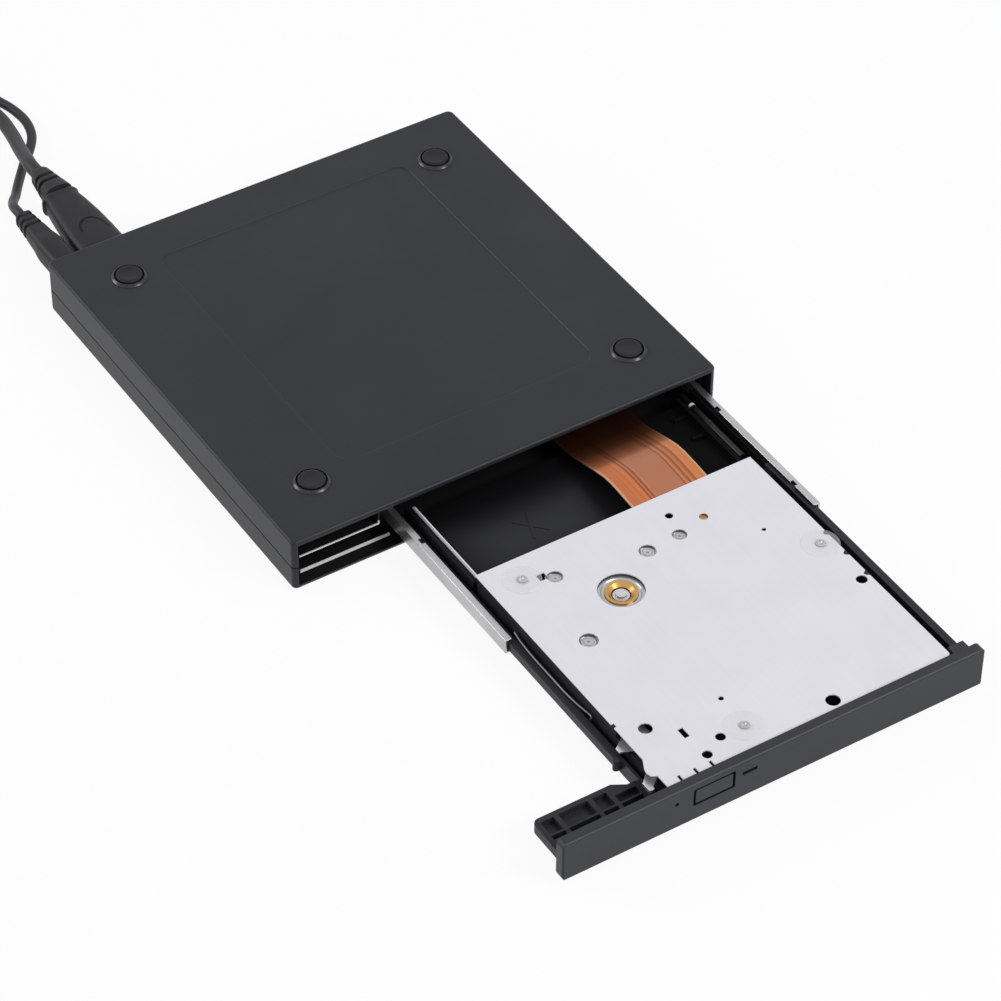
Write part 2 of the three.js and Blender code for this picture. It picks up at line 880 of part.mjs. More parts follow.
// The stepped pan: the drive's underside, which faces up here
function housingPan() {
  const sheet = DRIVE.sheet;
  const step = stepX;
  const wing = DRIVE.wingTop;
  const lowest = driveFloor + SEAT;
  const section = outline([
    [driveLeft, lowest],
    [driveLeft, wing],
    [step, wing],
    [step, driveTop],
    [driveRight, driveTop],
    [driveRight, lowest],
    [driveRight - sheet, lowest],
    [driveRight - sheet, driveCeiling],
    [step + sheet, driveCeiling],
    [step + sheet, wing - sheet],
    [driveLeft + sheet, wing - sheet],
    [driveLeft + sheet, lowest],
  ]);
  let pan = alongY(section, driveFront, driveRear);
  const [wallFront, wallRear] = [driveRear - sheet, driveRear];
  const rearWall = cut(
    box(driveLeft + SEAT, driveRight - SEAT, wallFront, wallRear, lowest, driveTop - SEAT),
    box(driveLeft - OVERRUN, step, wallFront - OVERRUN, wallRear + OVERRUN, wing - SEAT, driveTop + OVERRUN),
  );
  const window = box(
    connector.left - DRIVE.windowMargin,
    connector.right + DRIVE.windowMargin,
    driveRear - sheet - OVERRUN,
    driveRear + OVERRUN,
    connector.bottom - DRIVE.windowMargin,
    connector.top + GAP,
  );
  pan = join(pan, cut(rearWall, window));
  // Stiffening channels pressed into the broad face
  for (const share of [1 / 5, 1 / 2, 4 / 5]) {
    const x = step + share * (driveRight - step);
    const groove = rect(
      x - DRIVE.grooveHalf,
      x + DRIVE.grooveHalf,
      driveFront + DRIVE.grooveInset,
      driveRear - DRIVE.grooveInset,
      DRIVE.grooveHalf - SEAT,
    );
    pan = cut(pan, prism(groove, driveTop - sheet / 2, driveTop + OVERRUN, 3));
  }
  // The catch that the latch lever's claw holds on to
  const { left, right, rear, bottom } = catchTab;
  return join(
    pan,
    box(left, right, driveFront + SEAT, rear, driveCeiling - SEAT, driveTop - SEAT),
    box(left, right, rear - sheet, rear, bottom, driveTop - SEAT),
  );
}

// The flat cover: the drive's upper side, which faces down here, with a low hem beside the tray's mouth
function housingCover() {
  const sheet = DRIVE.sheet;
  const shape = rect(driveLeft, driveRight, driveFront, driveRear, DRIVE.corner);
  const flat = prism(shape, driveBottom, driveFloor, 2);
  const dish = turned(
    [
      [0, driveFloor - sheet / 2],
      [SPINDLE.hub + DRIVE.dishRim, driveFloor - sheet / 2],
      [SPINDLE.hub + DRIVE.dishRim, driveFloor + OVERRUN],
      [0, driveFloor + OVERRUN],
    ],
    24,
    spindleX,
    spindleY + TRAY.travel,
  );
  const hem = box(
    driveLeft + sheet + GAP,
    wingRight,
    driveFront,
    driveFront + sheet,
    driveFloor - SEAT,
    driveFloor + DRIVE.hem,
  );
  return cut(join(flat, hem), dish);
}

const mainBoardTop = driveCeiling - 2 * GAP;
const mainBoardBottom = mainBoardTop - BOARD.thickness;
const mainBoardRear = driveRear - DRIVE.sheet - 2 * GAP;
const connector = {
  left: driveRight - CONNECTOR.fromRight,
  right: driveRight - CONNECTOR.fromRight + CONNECTOR.width,
  bottom: mainBoardBottom - SEAT - CONNECTOR.height,
  top: mainBoardBottom - SEAT,
};

function slimConnector() {
  const { left, right, bottom, top } = connector;
  const { depth, proud, endWall, wall } = CONNECTOR;
  const body = box(left, right, driveRear - depth, driveRear + proud, bottom, top);
  const end = driveRear + proud + OVERRUN;
  return cut(body, box(left + endWall, right - endWall, driveRear, end, bottom + wall, top - wall));
}

function mainBoard() {
  const { fromLeft, fromRight, depth, corner, chipHeight } = BOARD;
  const left = driveLeft + fromLeft;
  const right = driveRight - fromRight;
  const front = mainBoardRear - depth;
  const board = prism(rect(left, right, front, mainBoardRear, corner), mainBoardBottom, mainBoardTop, 2);
  return BOARD.chipShares.reduce((sum, [across, along, size]) => {
    const x = left + across * (right - left);
    const y = front + along * depth;
    const half = size * depth;
    const low = mainBoardBottom - chipHeight;
    return sum.add(box(x - half, x + half, y - half, y + half, low, mainBoardBottom + SEAT));
  }, board);
}

// A C-shaped plastic guide with its mouth toward the tray
function railGuide(outer, inner, towardTray) {
  const lip = inner + towardTray * (GUIDE.grip + GAP);
  const low = railBottom - GAP;
  const high = railTop + GAP;
  const section = outline([
    [outer, low - GUIDE.lip],
    [lip, low - GUIDE.lip],
    [lip, low],
    [inner, low],
    [inner, high],
    [lip, high],
    [lip, high + GUIDE.lip],
    [outer, high + GUIDE.lip],
  ]);
  const front = driveFront + GUIDE.frontSetBack - DRIVE.recess;
  return alongY(section, front, front + GUIDE.length);
}

// A folded steel channel, its open side toward the tray
function rail(outer, towardTray, notches) {
  const web = outer + towardTray * RAIL.web;
  const lip = outer + towardTray * RAIL.depth;
  const section = outline([
    [outer, railBottom],
    [lip, railBottom],
    [lip, railBottom + RAIL.web],
    [web, railBottom + RAIL.web],
    [web, railTop - RAIL.web],
    [lip, railTop - RAIL.web],
    [lip, railTop],
    [outer, railTop],
  ]);
  let channel = alongY(section, railFront, railRear);
  for (const share of notches) {
    const y = mouthY - share * RAIL.outside;
    const [a, b] = [lip - towardTray * RAIL.notch, lip + towardTray * OVERRUN].sort((p, q) => p - q);
    const low = railTop - RAIL.web - GAP;
    channel = cut(channel, box(a, b, y - RAIL.notch, y + RAIL.notch, low, railTop + OVERRUN));
  }
  return channel;
}

// Tray

const knobY = bezelBack + TRAY.knobFromBezel;
const ejectorX = (bay.right + trayRight - TRAY.sideWall) / 2;
const ejectorZ = TRAY.floor + GAP + EJECTOR.radius;
const catchTab = {
  left: beamOuterLeft + GAP,
  right: beamOuterLeft + LATCH.arm / 2 - GAP,
  rear: 0,
  bottom: LATCH.base - GAP,
};
const latchPivotY = bezelBack + LATCH.pivotFromBezel;
const clawY = bezelBack + LATCH.pivotFromBezel - LATCH.reach;
const magnetFront = latchPivotY + LATCH.arm + LATCH.post + 2 * GAP;
catchTab.rear = clawY + TRAY.travel - GAP;

function wing() {
  const back = bezelBack + WING.depth;
  const shape = new THREE.Shape();
  shape.moveTo(wingLeft, trayFront);
  shape.lineTo(trayLeft + TRAY.sideWall, trayFront);
  shape.lineTo(trayLeft + TRAY.sideWall, back - WING.chamferDrop);
  shape.lineTo(wingRight, back - WING.chamferDrop);
  shape.lineTo(wingRight - WING.chamfer, back);
  shape.lineTo(wingLeft + WING.corner, back);
  shape.absarc(wingLeft + WING.corner, back - WING.corner, WING.corner, Math.PI / 2, Math.PI, false);
  shape.lineTo(wingLeft, trayFront);
  let slab = prism(shape, TRAY.web, WING.top);
  const slotY = bezelBack + WING.slotFromBezel;
  const pocketFront = slotY + WING.slotWidth / 2 + WING.rib / 2;
  const ribs = WING.ribShares.map((share) => wingLeft + share * (wingRight - wingLeft));
  const edges = [wingLeft + WING.rim, ...ribs, wingRight + WING.rim];
  for (let i = 0; i + 1 < edges.length; i += 1) {
    const left = i ? edges[i] + WING.rib / 2 : edges[i];
    const right = i + 2 < edges.length ? edges[i + 1] - WING.rib / 2 : edges[i + 1];
    const rear = i + 2 < edges.length ? back - WING.rim : back - WING.rim - WING.chamferDrop;
    slab = cut(
      slab,
      box(left, right, pocketFront, rear, WING.pocketFloor, WING.top + OVERRUN),
      box(
        left - WING.rib / 2 + WING.slotInset,
        right + WING.rib / 2 - WING.slotInset,
        slotY - WING.slotWidth / 2,
        slotY + WING.slotWidth / 2,
        WING.pocketFloor,
        WING.top + OVERRUN,
      ),
    );
  }
  return slab;
}

function spindleOpening() {
  const throat = peg(spindleX, spindleY, TRAY.rim - OVERRUN, TRAY.floor + OVERRUN, SPINDLE.opening, 32);
  const half = TRAVERSE.window + GAP;
  const slot = prism(
    rect(0, traverseFar - TRAVERSE.sheet, -half, half, 2 * GAP),
    TRAY.rim - OVERRUN,
    TRAY.floor + OVERRUN,
    2,
  ).rotate([0, 0, TRAVERSE.turn]);
  return throat.add(slot.translate([spindleX, spindleY, 0]));
}

function tray() {
  const well = peg(spindleX, spindleY, TRAY.rim - OVERRUN, TRAY.web, TRAY.discRadius, 72);
  const skirt = cut(box(trayLeft, trayRight, trayFront, trayRear, TRAY.rim, TRAY.web + SEAT), well);
  const web = box(trayLeft, trayRight, trayFront, trayRear, TRAY.web, TRAY.floor);
  const bayWalls = cut(
    box(bay.left, bay.right, bay.front, bay.rear, TRAY.floor - SEAT, bayTop),
    box(cavity.left, cavity.right, cavity.front, cavity.rear, TRAY.floor - OVERRUN, bayTop + OVERRUN),
  );
  const sideLeft = box(trayLeft, trayLeft + TRAY.sideWall, trayFront, trayRear, TRAY.web, beamTop);
  const sideRight = box(trayRight - TRAY.sideWall, trayRight, trayFront, trayRear, TRAY.web, beamTop);
  const knobFront = knobY - 2 * TRAY.knobRadius;
  const beamLeft = box(beamOuterLeft, trayLeft + SEAT, knobFront, trayRear, beamBottom, beamTop);
  const beamRight = alongX(
    rect(bezelBack + TRAY.beamFromBezel, trayRear, beamBottom, beamTop),
    trayRight - SEAT,
    beamOuterRight,
  );
  const { knobRadius } = TRAY;
  const knob = peg(beamOuterLeft, knobY - knobRadius, beamBottom, beamTop + knobRadius / 2, knobRadius, 14);
  const rearLeft = box(
    stripX - SEAT - TRAY.bayWall,
    stripX - SEAT,
    bay.rear - SEAT,
    trayRear,
    TRAY.floor - SEAT,
    TRAY.rearWallTop,
  );
  // The lane of the ejector plunger along the right side
  const laneInner = ejectorX - EJECTOR.radius - GAP;
  const lane = box(
    laneInner - TRAY.bayWall,
    laneInner,
    bay.rear - SEAT,
    trayRear,
    TRAY.floor - SEAT,
    ejectorZ + EJECTOR.radius,
  );
  const ribs = Array.from({ length: TRAY.ribCount }, (_, i) => {
    const y = trayRear - TRAY.ribFromRear - i * TRAY.ribPitch;
    return box(
      laneInner - TRAY.ribReach,
      laneInner,
      y - TRAY.ribWidth / 2,
      y + TRAY.ribWidth / 2,
      TRAY.floor - SEAT,
      TRAY.floor + TRAY.ribHeight,
    );
  });
  let body = join(skirt, web, bayWalls, sideLeft, sideRight, beamLeft, beamRight, knob);
  body = join(body, rearLeft, lane, ...ribs, wing());
  body = cut(body, spindleOpening());
  // Ways out of the bay for the button's stem, the light pipe and the latch arm
  const [wallFront, wallRear] = [bay.front - OVERRUN, cavity.front + OVERRUN];
  body = cut(
    body,
    box(
      buttonLeft - BUTTON.lip - GAP,
      buttonRight + BUTTON.lip + GAP,
      wallFront,
      wallRear,
      BUTTON.bottom - BUTTON.lip - GAP,
      BUTTON.top + BUTTON.lip + GAP,
    ),
    box(lightLeft - GAP, lightRight + GAP, wallFront, wallRear, LIGHT.bottom - GAP, LIGHT.top + GAP),
    box(
      trayLeft - OVERRUN,
      cavity.left + OVERRUN,
      clawY - LATCH.arm,
      magnetFront + LATCH.bracketRoot + 2 * GAP,
      LATCH.base - GAP,
      bayTop + OVERRUN,
    ),
    rod([pinholeX, wallFront, PINHOLE.z], [pinholeX, wallRear, PINHOLE.z], PINHOLE.radius, 10),
    box(
      flexLeft - GAP,
      flexLeft + FLEX.width + GAP,
      cavity.rear - OVERRUN,
      bay.rear + OVERRUN,
      bayTop - FLEX.notch,
      bayTop + OVERRUN,
    ),
  );
  // The latch lever's post and the posts of the traverse
  const postTop = LATCH.base + LATCH.thickness + GAP;
  body = join(body, peg(latchPivotX, latchPivotY, TRAY.floor - SEAT, postTop, LATCH.post, 16));
  for (const [u, v] of traversePosts) {
    const [x, y] = traversePoint(u, v);
    body = join(body, peg(x, y, TRAY.floor - SEAT, TRAVERSE.base - SEAT, WASHER.recess, 12));
  }
  return body;
}

// A place in the part's frame from one along and across the traverse
function traversePoint(u, v) {
  return [spindleX + u * cosine + v * sine, spindleY - u * sine + v * cosine];
}
const traversePosts = [
  [traverseFar - WASHER.recess - GAP, -TRAVERSE.halfWidth + WASHER.recess + GAP],
  [traverseFar - WASHER.recess - GAP, TRAVERSE.screwSide - WASHER.recess - GAP],
];

function bezel() {
  const half = DRIVE.width / 2 - BEZEL.inset;
  const face = rect(-half, half, BEZEL.bottom, bezelTop, BEZEL.corner);
  let body = alongY(face, bezelFront, bezelBack);
  // The front rim is chamfered by four wedges
  const e = BEZEL.edge;
  const lowCut = outline([
    [bezelFront - OVERRUN, BEZEL.bottom + e + OVERRUN],
    [bezelFront + e + OVERRUN, BEZEL.bottom - OVERRUN],
    [bezelFront - OVERRUN, BEZEL.bottom - OVERRUN],
  ]);
  const highCut = outline([
    [bezelFront - OVERRUN, bezelTop - e - OVERRUN],
    [bezelFront - OVERRUN, bezelTop + OVERRUN],
    [bezelFront + e + OVERRUN, bezelTop + OVERRUN],
  ]);
  const end = half + OVERRUN;
  body = cut(body, alongX(lowCut, -end, end), alongX(highCut, -end, end));
  for (const side of [-1, 1]) {
    const endCut = outline([
      [side * (half + OVERRUN), bezelFront - OVERRUN],
      [side * (half + OVERRUN), bezelFront + e + OVERRUN],
      [side * (half - e - OVERRUN), bezelFront - OVERRUN],
    ]);
    body = cut(body, prism(endCut, BEZEL.bottom - OVERRUN, bezelTop + OVERRUN));
  }
  const buttonHole = rect(
    buttonLeft - BUTTON.gap,
    buttonRight + BUTTON.gap,
    BUTTON.bottom - BUTTON.gap,
    BUTTON.top + BUTTON.gap,
    BUTTON.gap,
  );
  const lightHole = box(
    lightLeft - SEAT,
    lightRight + SEAT,
    bezelFront - OVERRUN,
    bezelBack + OVERRUN,
    LIGHT.bottom - SEAT,
    LIGHT.top + SEAT,
  );
  const pinFront = [pinholeX, bezelFront - OVERRUN, PINHOLE.z];
  const pin = rod(pinFront, [pinholeX, bezelBack + OVERRUN, PINHOLE.z], PINHOLE.radius, 12);
  const lipRoom = box(
    buttonLeft - BUTTON.gap - BUTTON.lip,
    buttonRight + BUTTON.gap + BUTTON.lip,
    bezelBack - BUTTON.lip - GAP,
    bezelBack + OVERRUN,
    BUTTON.bottom - BUTTON.gap - BUTTON.lip,
    BUTTON.top + BUTTON.gap + BUTTON.lip,
  );
  const hole = alongY(buttonHole, bezelFront - OVERRUN, bezelBack + OVERRUN, 2);
  body = cut(body, hole, lightHole, pin, lipRoom);
  // The raised tab at the back of the right end
  const tab = box(
    bay.right + GAP,
    trayRight - GAP,
    bezelBack - SEAT,
    bezelBack + BEZEL.thickness,
    beamTop + GAP,
    driveCeiling - GAP,
  );
  return join(body, tab);
}

function ejectButton() {
  const face = rect(buttonLeft, buttonRight, BUTTON.bottom, BUTTON.top, BUTTON.gap);
  const cap = softPrism(face, 0, BEZEL.thickness, BUTTON.gap / 2, 2);
  const upright = cap.rotate([90, 0, 0]).translate([0, bezelBack, 0]);
  const lip = box(
    buttonLeft - BUTTON.lip,
    buttonRight + BUTTON.lip,
    bezelBack - BUTTON.lip,
    bezelBack,
    BUTTON.bottom - BUTTON.lip,
    BUTTON.top + BUTTON.lip,
  );
  const stemX = (buttonLeft + buttonRight) / 2;
  const stemZ = SWITCH.boardTop + SWITCH.half / 2;
  const stem = box(
    stemX - BUTTON.stem,
    stemX + BUTTON.stem,
    bezelBack - SEAT,
    switchFront - BUTTON.travel - GAP,
    stemZ - BUTTON.stem / 2,
    stemZ + BUTTON.stem / 2,
  );
  return join(upright, lip, stem);
}

function lightPipe() {
  const end = bezelFront + LIGHT.length;
  const bar = box(lightLeft, lightRight, bezelFront + GAP, end, LIGHT.bottom, LIGHT.top);
  const foot = box(
    lightLeft,
    lightRight,
    end - BEZEL.edge * 4,
    end,
    SWITCH.boardTop + SEAT,
    LIGHT.bottom + SEAT,
  );
  return join(bar, foot);
}

const switchFront = cavity.front + SWITCH.setBack;

function trayBoard() {
  const { boardTop, boardDepth, pastSpindle, half, depth } = SWITCH;
  const left = latchPivotX + LATCH.post + GAP * 4;
  const right = spindleX + pastSpindle;
  const front = cavity.front + GAP;
  const shape = rect(left, right, front, front + boardDepth, GAP);
  const board = prism(shape, boardTop - BOARD.thickness, boardTop, 2);
  const stemX = (buttonLeft + buttonRight) / 2;
  const rear = switchFront + depth;
  return join(board, box(stemX - half, stemX + half, switchFront, rear, boardTop - SEAT, boardTop + half));
}

function trayPlate() {
  const shape = new THREE.Shape();
  const front = plateFront;
  const rear = plateRear;
  const left = plateLeft;
  const right = plateRight;
  const { corner, ear, earShares, nick, scallop, edgeSlot } = PLATE;
  shape.moveTo(left, front);
  shape.lineTo(right - corner, front);
  shape.absarc(right - corner, front + corner, corner, -Math.PI / 2, 0, false);
  for (let i = scallop.count - 1; i >= 0; i -= 1) {
    const y = rear - scallop.fromRear - i * scallop.pitch;
    shape.lineTo(right, y - scallop.radius / 2);
    shape.quadraticCurveTo(right - scallop.radius, y, right, y + scallop.radius / 2);
  }
  shape.lineTo(right, rear);
  shape.lineTo(left, rear);
  for (const [out, along] of earShares) {
    shape.lineTo(left - out * ear.reach, front + ear.fromFront + along * ear.length);
  }
  shape.lineTo(left, front);
  let plate = prism(shape, plateBottom, plateTop, 4);
  const low = plateBottom - OVERRUN;
  const high = plateTop + OVERRUN;
  const nickY = front + nick.fromFront;
  plate = cut(plate, box(left - OVERRUN, left + nick.depth, nickY, nickY + nick.width, low, high));
  plate = cut(plate, peg(spindleX, spindleY, low, high, PLATE.spindleHole, 32));
  for (const [across, along, size] of PLATE.holeShares) {
    const [x, y] = platePoint(across, along);
    plate = cut(plate, peg(x, y, low, high, size * PLATE.spindleHole, 12));
  }
  for (const [across, along, width, depth] of PLATE.slotShares) {
    const [x, y] = platePoint(across, along);
    const [halfX, halfY] = [width * PLATE.spindleHole, depth * PLATE.spindleHole];
    plate = cut(plate, box(x - halfX, x + halfX, y - halfY, y + halfY, low, high));
  }
  for (let i = 0; i < edgeSlot.count; i += 1) {
    const x = left + edgeSlot.fromLeft + i * edgeSlot.pitch;
    const half = edgeSlot.width / 2;
    plate = cut(plate, box(x - half, x + half, front - OVERRUN, front + edgeSlot.depth, low, high));
  }
  return plate;
}

// A place on the plate from shares of its width and depth
function platePoint(across, along) {
  return [plateLeft + across * (plateRight - plateLeft), plateFront + along * PLATE.depth];
}

function washer() {
  const { radius, thickness, recess, recessDepth } = WASHER;
  return turned(
    [
      [0, 0],
      [radius, 0],
      [radius, thickness / 2],
      [radius - thickness / 2, thickness],
      [recess, thickness],
      [recess - recessDepth, thickness - recessDepth],
      [0, thickness - recessDepth],
    ],
    20,
  );
}

// Spindle and traverse, in the traverse's own frame

const chassisTop = TRAVERSE.base + TRAVERSE.sheet;
const discSeat = TRAY.web - GAP - SEAT;

function spindleMotor() {
  const { flange, bearing, bearingBore } = SPINDLE;
  const base = chassisTop + SEAT;
  const high = plateBottom - GAP;
  const step = TRAVERSE.sheet;
  return turned(
    [
      [bearingBore, base],
      [flange, base],
      [flange, base + step],
      [bearing + 2 * step, base + step],
      [bearing + step, base + 3 * step],
      [bearing, base + 3 * step],
      [bearing, high],
      [bearing - step, high],
      [bearingBore, high - step],
      [bearingBore, base],
    ],
    32,
  );
}

function turntable() {
  const { rotor, seat, hub, hubDrop, bearingBore, cap } = SPINDLE;
  const shaft = bearingBore - GAP;
  const top = plateBottom - 2 * GAP;
  const low = discSeat - hubDrop;
  const rotorTop = TRAVERSE.base - GAP;
  const body = turned(
    [
      [0, low],
      [hub - hubDrop, low],
      [hub, low + hubDrop],
      [hub, discSeat],
      [seat, discSeat],
      [seat, discSeat + hubDrop / 2],
      [rotor, discSeat + hubDrop / 2],
      [rotor, rotorTop],
      [shaft, rotorTop],
      [shaft, top - hubDrop / 2],
      [cap, top - hubDrop / 2],
      [cap, top],
      [0, top],
    ],
    32,
  );
  // Three spring fingers of the disc clamp, seen as notches in the hub
  return [0, 1, 2].reduce((rest, i) => {
    const notch = box(hub / 2, hub + OVERRUN, -GAP, GAP, low - OVERRUN, discSeat - GAP);
    return rest.subtract(notch.rotate([0, 0, 120 * i]));
  }, body);
}

function traverseChassis() {
  const { near, rim, halfWidth: half, screwSide, window, windowNear, windowCorner } = TRAVERSE;
  const { sheet, base, tabHeight } = TRAVERSE;
  const far = traverseFar;
  const cornerShare = 0.55;
  const shape = outline([
    [-near, -near * cornerShare],
    [-near * cornerShare, -near],
    [near * cornerShare, -near],
    [near, -half],
    [far, -half],
    [far, screwSide],
    [near * cornerShare, screwSide],
    [-near * cornerShare, near],
    [-near, near * cornerShare],
  ]);
  const plate = prism(shape, base, chassisTop);
  const [low, high] = [base - OVERRUN, chassisTop + OVERRUN];
  const windowCut = prism(rect(windowNear, far - rim, -window, window, windowCorner), low, high, 3);
  const motorHole = peg(0, 0, low, high, SPINDLE.bearingBore + GAP, 20);
  let body = cut(plate, windowCut, motorHole);
  // Tabs folded up at both ends hold the guide rods and the lead screw
  const tabTop = TRAVERSE.rodHeight + tabHeight / 2;
  for (const u of [tabNear, far]) {
    for (const v of [-TRAVERSE.rodOffset, TRAVERSE.rodOffset, TRAVERSE.screwOffset]) {
      body = join(body, box(u - sheet, u, v - tabHeight / 2, v + tabHeight / 2, chassisTop - SEAT, tabTop));
    }
  }
  const { rodOffset, rodRadius, rodHeight, screwOffset, screwRadius } = TRAVERSE;
  const hole = (v, radius) =>
    rod([tabNear - 2 * sheet, v, rodHeight], [far + OVERRUN, v, rodHeight], radius + SEAT * 2, 12);
  body = cut(body, hole(-rodOffset, rodRadius), hole(rodOffset, rodRadius));
  return cut(body, hole(screwOffset, screwRadius / 2));
}
const tabNear = SPINDLE.flange + TRAVERSE.sheet + GAP;

function guideRod(v) {
  const { sheet, rodHeight, rodRadius } = TRAVERSE;
  return rod([tabNear - sheet, v, rodHeight], [traverseFar, v, rodHeight], rodRadius, 12);
}

const feedNear = traverseFar - TRAVERSE.sheet - GAP - FEED.length;

function feedMotor() {
  const { screwOffset, rodHeight } = TRAVERSE;
  const feedFar = feedNear + FEED.length;
  const can = rod([feedNear, screwOffset, rodHeight], [feedFar, screwOffset, rodHeight], FEED.radius, 20);
  const low = rodHeight - chassisTop - SEAT;
  const flat = box(
    feedNear - OVERRUN,
    feedFar + OVERRUN,
    screwOffset - FEED.radius - OVERRUN,
    screwOffset + FEED.radius + OVERRUN,
    rodHeight - FEED.radius - OVERRUN,
    rodHeight - Math.min(low, FEED.radius - GAP),
  );
  return cut(can, flat);
}

// A shaft with a thinner journal at each end
function leadScrew() {
  const { screwOffset, rodHeight, screwRadius } = TRAVERSE;
  const core = rod([tabNear - TRAVERSE.sheet, 0, 0], [feedNear - GAP, 0, 0], screwRadius / 2, 12);
  const shaft = rod([tabNear + GAP, 0, 0], [feedNear - 2 * GAP, 0, 0], screwRadius, 12);
  return join(core, shaft).translate([0, screwOffset, rodHeight]);
}

function pickup() {
  const { start, length, height, bore, side } = PICKUP;
  const { rodOffset, rodHeight, rodRadius, screwOffset, screwRadius } = TRAVERSE;
  const low = chassisTop + GAP;
  const top = low + height;
  const u0 = start - length / 2;
  const u1 = start + length / 2;
  const waist = rect(u0, u1, -side, side, length / 5);
  let body = prism(waist, low, top, 4);
  // A bearing sleeve on one rod and an open fork on the other
  const keep = rodRadius + bore;
  body = cut(
    body,
    rod([u0 - OVERRUN, rodOffset, rodHeight], [u1 + OVERRUN, rodOffset, rodHeight], keep, 12),
    box(u0 - OVERRUN, u1 + OVERRUN, -side - OVERRUN, -rodOffset + keep, rodHeight - keep, rodHeight + keep),
  );
  // The toothed finger that rides in the lead screw
  const fingerRear = u0 + 2 * screwRadius;
  const finger = box(
    u0,
    fingerRear,
    side - SEAT,
    screwOffset + screwRadius,
    rodHeight + screwRadius + bore,
    rodHeight + screwRadius + bore + TRAVERSE.sheet,
  );
  const crown = box(
    u0,
    fingerRear,
    rodOffset,
    side + SEAT,
    rodHeight + screwRadius + bore,
    rodHeight + screwRadius + bore + TRAVERSE.sheet,
  );
  const opticsWell = peg(start, 0, low - OVERRUN, low + GAP * 2, PICKUP.lens + GAP * 2, 20);
  return cut(join(body, finger, crown), opticsWell);
}

function lens() {
  const low = chassisTop + GAP;
  const { start, lens: radius, lensDrop } = PICKUP;
  return turned(
    [
      [0, low - lensDrop],
      [radius / 2, low - lensDrop * 0.9],
      [radius, low - lensDrop / 2],
      [radius, low + GAP * 2 - SEAT],
      [0, low + GAP * 2 - SEAT],
    ],
    20,
    start,
    0,
  );
}

// Latch, ejector and springs

function latchLever() {
  const { post, arm, thickness, base, claw } = LATCH;
  const pivotX = latchPivotX;
  const ring = post + arm / 2;
  const boss = peg(pivotX, latchPivotY, base, base + thickness, ring, 20);
  const tipX = (catchTab.left + catchTab.right) / 2 - claw / 2;
  const shape = outline([
    [pivotX - ring, latchPivotY],
    [tipX, clawY + claw + arm / 2],
    [tipX, clawY],
    [tipX + claw, clawY],
    [tipX + claw, clawY + claw / 2],
    [pivotX + ring / 2, latchPivotY - ring / 2],
  ]);
  const body = join(boss, prism(shape, base, base + thickness));
  return cut(body, peg(pivotX, latchPivotY, base - OVERRUN, base + thickness + OVERRUN, post + GAP / 2, 16));
}

// The latch's magnet, with the bracket that reaches out under the edge of the plate
function latchSolenoid() {
  const { magnetWidth, magnetDepth, magnetRod, base, thickness } = LATCH;
  const { bracketRoot, bracketReach, bracketSheet, bracketShares } = LATCH;
  const x = cavity.left + GAP;
  const y = magnetFront;
  const body = box(x, x + magnetWidth, y, y + magnetDepth, TRAY.floor + SEAT, base + thickness);
  const z = base - GAP * 2;
  const centre = x + magnetWidth / 2;
  const armature = rod([centre, y - magnetWidth / 3, z], [centre, y + SEAT, z], magnetRod, 10);
  const [tipFront, tipRear] = bracketShares.map((share) => y + share * bracketRoot);
  const bracket = outline([
    [x + SEAT, y],
    [x + SEAT, y + bracketRoot],
    [x - bracketReach, tipRear],
    [x - bracketReach, tipFront],
  ]);
  return join(body, armature, prism(bracket, base, base + bracketSheet));
}

function ejectorPlunger() {
  const { radius, length, proud } = EJECTOR;
  const [x, z] = [ejectorX, ejectorZ];
  const tip = trayRear + proud;
  const shaft = rod([x, tip - length, z], [x, tip - radius, z], radius, 12);
  const nose = rod([x, tip - radius - SEAT, z], [x, tip, z], radius * 0.7, 12);
  const collar = rod([x, tip - length / 2, z], [x, tip - length / 2 + radius, z], radius + GAP / 2, 12);
  return join(shaft, nose, collar);
}

function wireSpring() {
  const x = plateLeft - WIRE.diameter / 2;
  const out = trayLeft + WIRE.diameter;
  const z = beamTop + GAP / 2 + WIRE.diameter / 2;
  const points = WIRE.bowShares.map(([along, bow]) => [
    x + bow * (out - x),
    plateRear - WIRE.fromRear - along * WIRE.length,
    z,
  ]);
  return cordTube(points, WIRE.diameter, 6, 24);
}

function earthStrip() {
  const { thickness, bottom, top, length, tip } = STRIP;
  const side = rect(bay.rear + GAP, bay.rear + length, bottom, top, [0, tip, tip, 0]);
  return alongX(side, stripX, stripX + thickness);
}

function flexCable() {
  const { tuck, grip, rise, sag, steps, thickness, width, curveShares } = FLEX;
  const start = plateRear - tuck;
  const end = mainBoardRear - BOARD.depth + grip;
  const high = plateBottom - GAP;
  const upper = [
    ...curveShares.map(([along, down]) => [start + along * (end - start), high - down * sag]),
    [end - 2 * grip + tuck / 2, mainBoardBottom - rise],
    [end, mainBoardBottom - GAP],
  ];
  const knots = upper.map(([y, z]) => new THREE.Vector3(y, z, 0));
  const curve = new THREE.CatmullRomCurve3(knots, false, "centripetal");
  const line = curve.getSpacedPoints(steps).map((p) => [p.x, p.y]);
  const back = line.map(([y, z]) => [y, z - thickness]).reverse();
  return alongX(outline([...line, ...back]), flexLeft, flexLeft + width);
}

// Plugs and cords

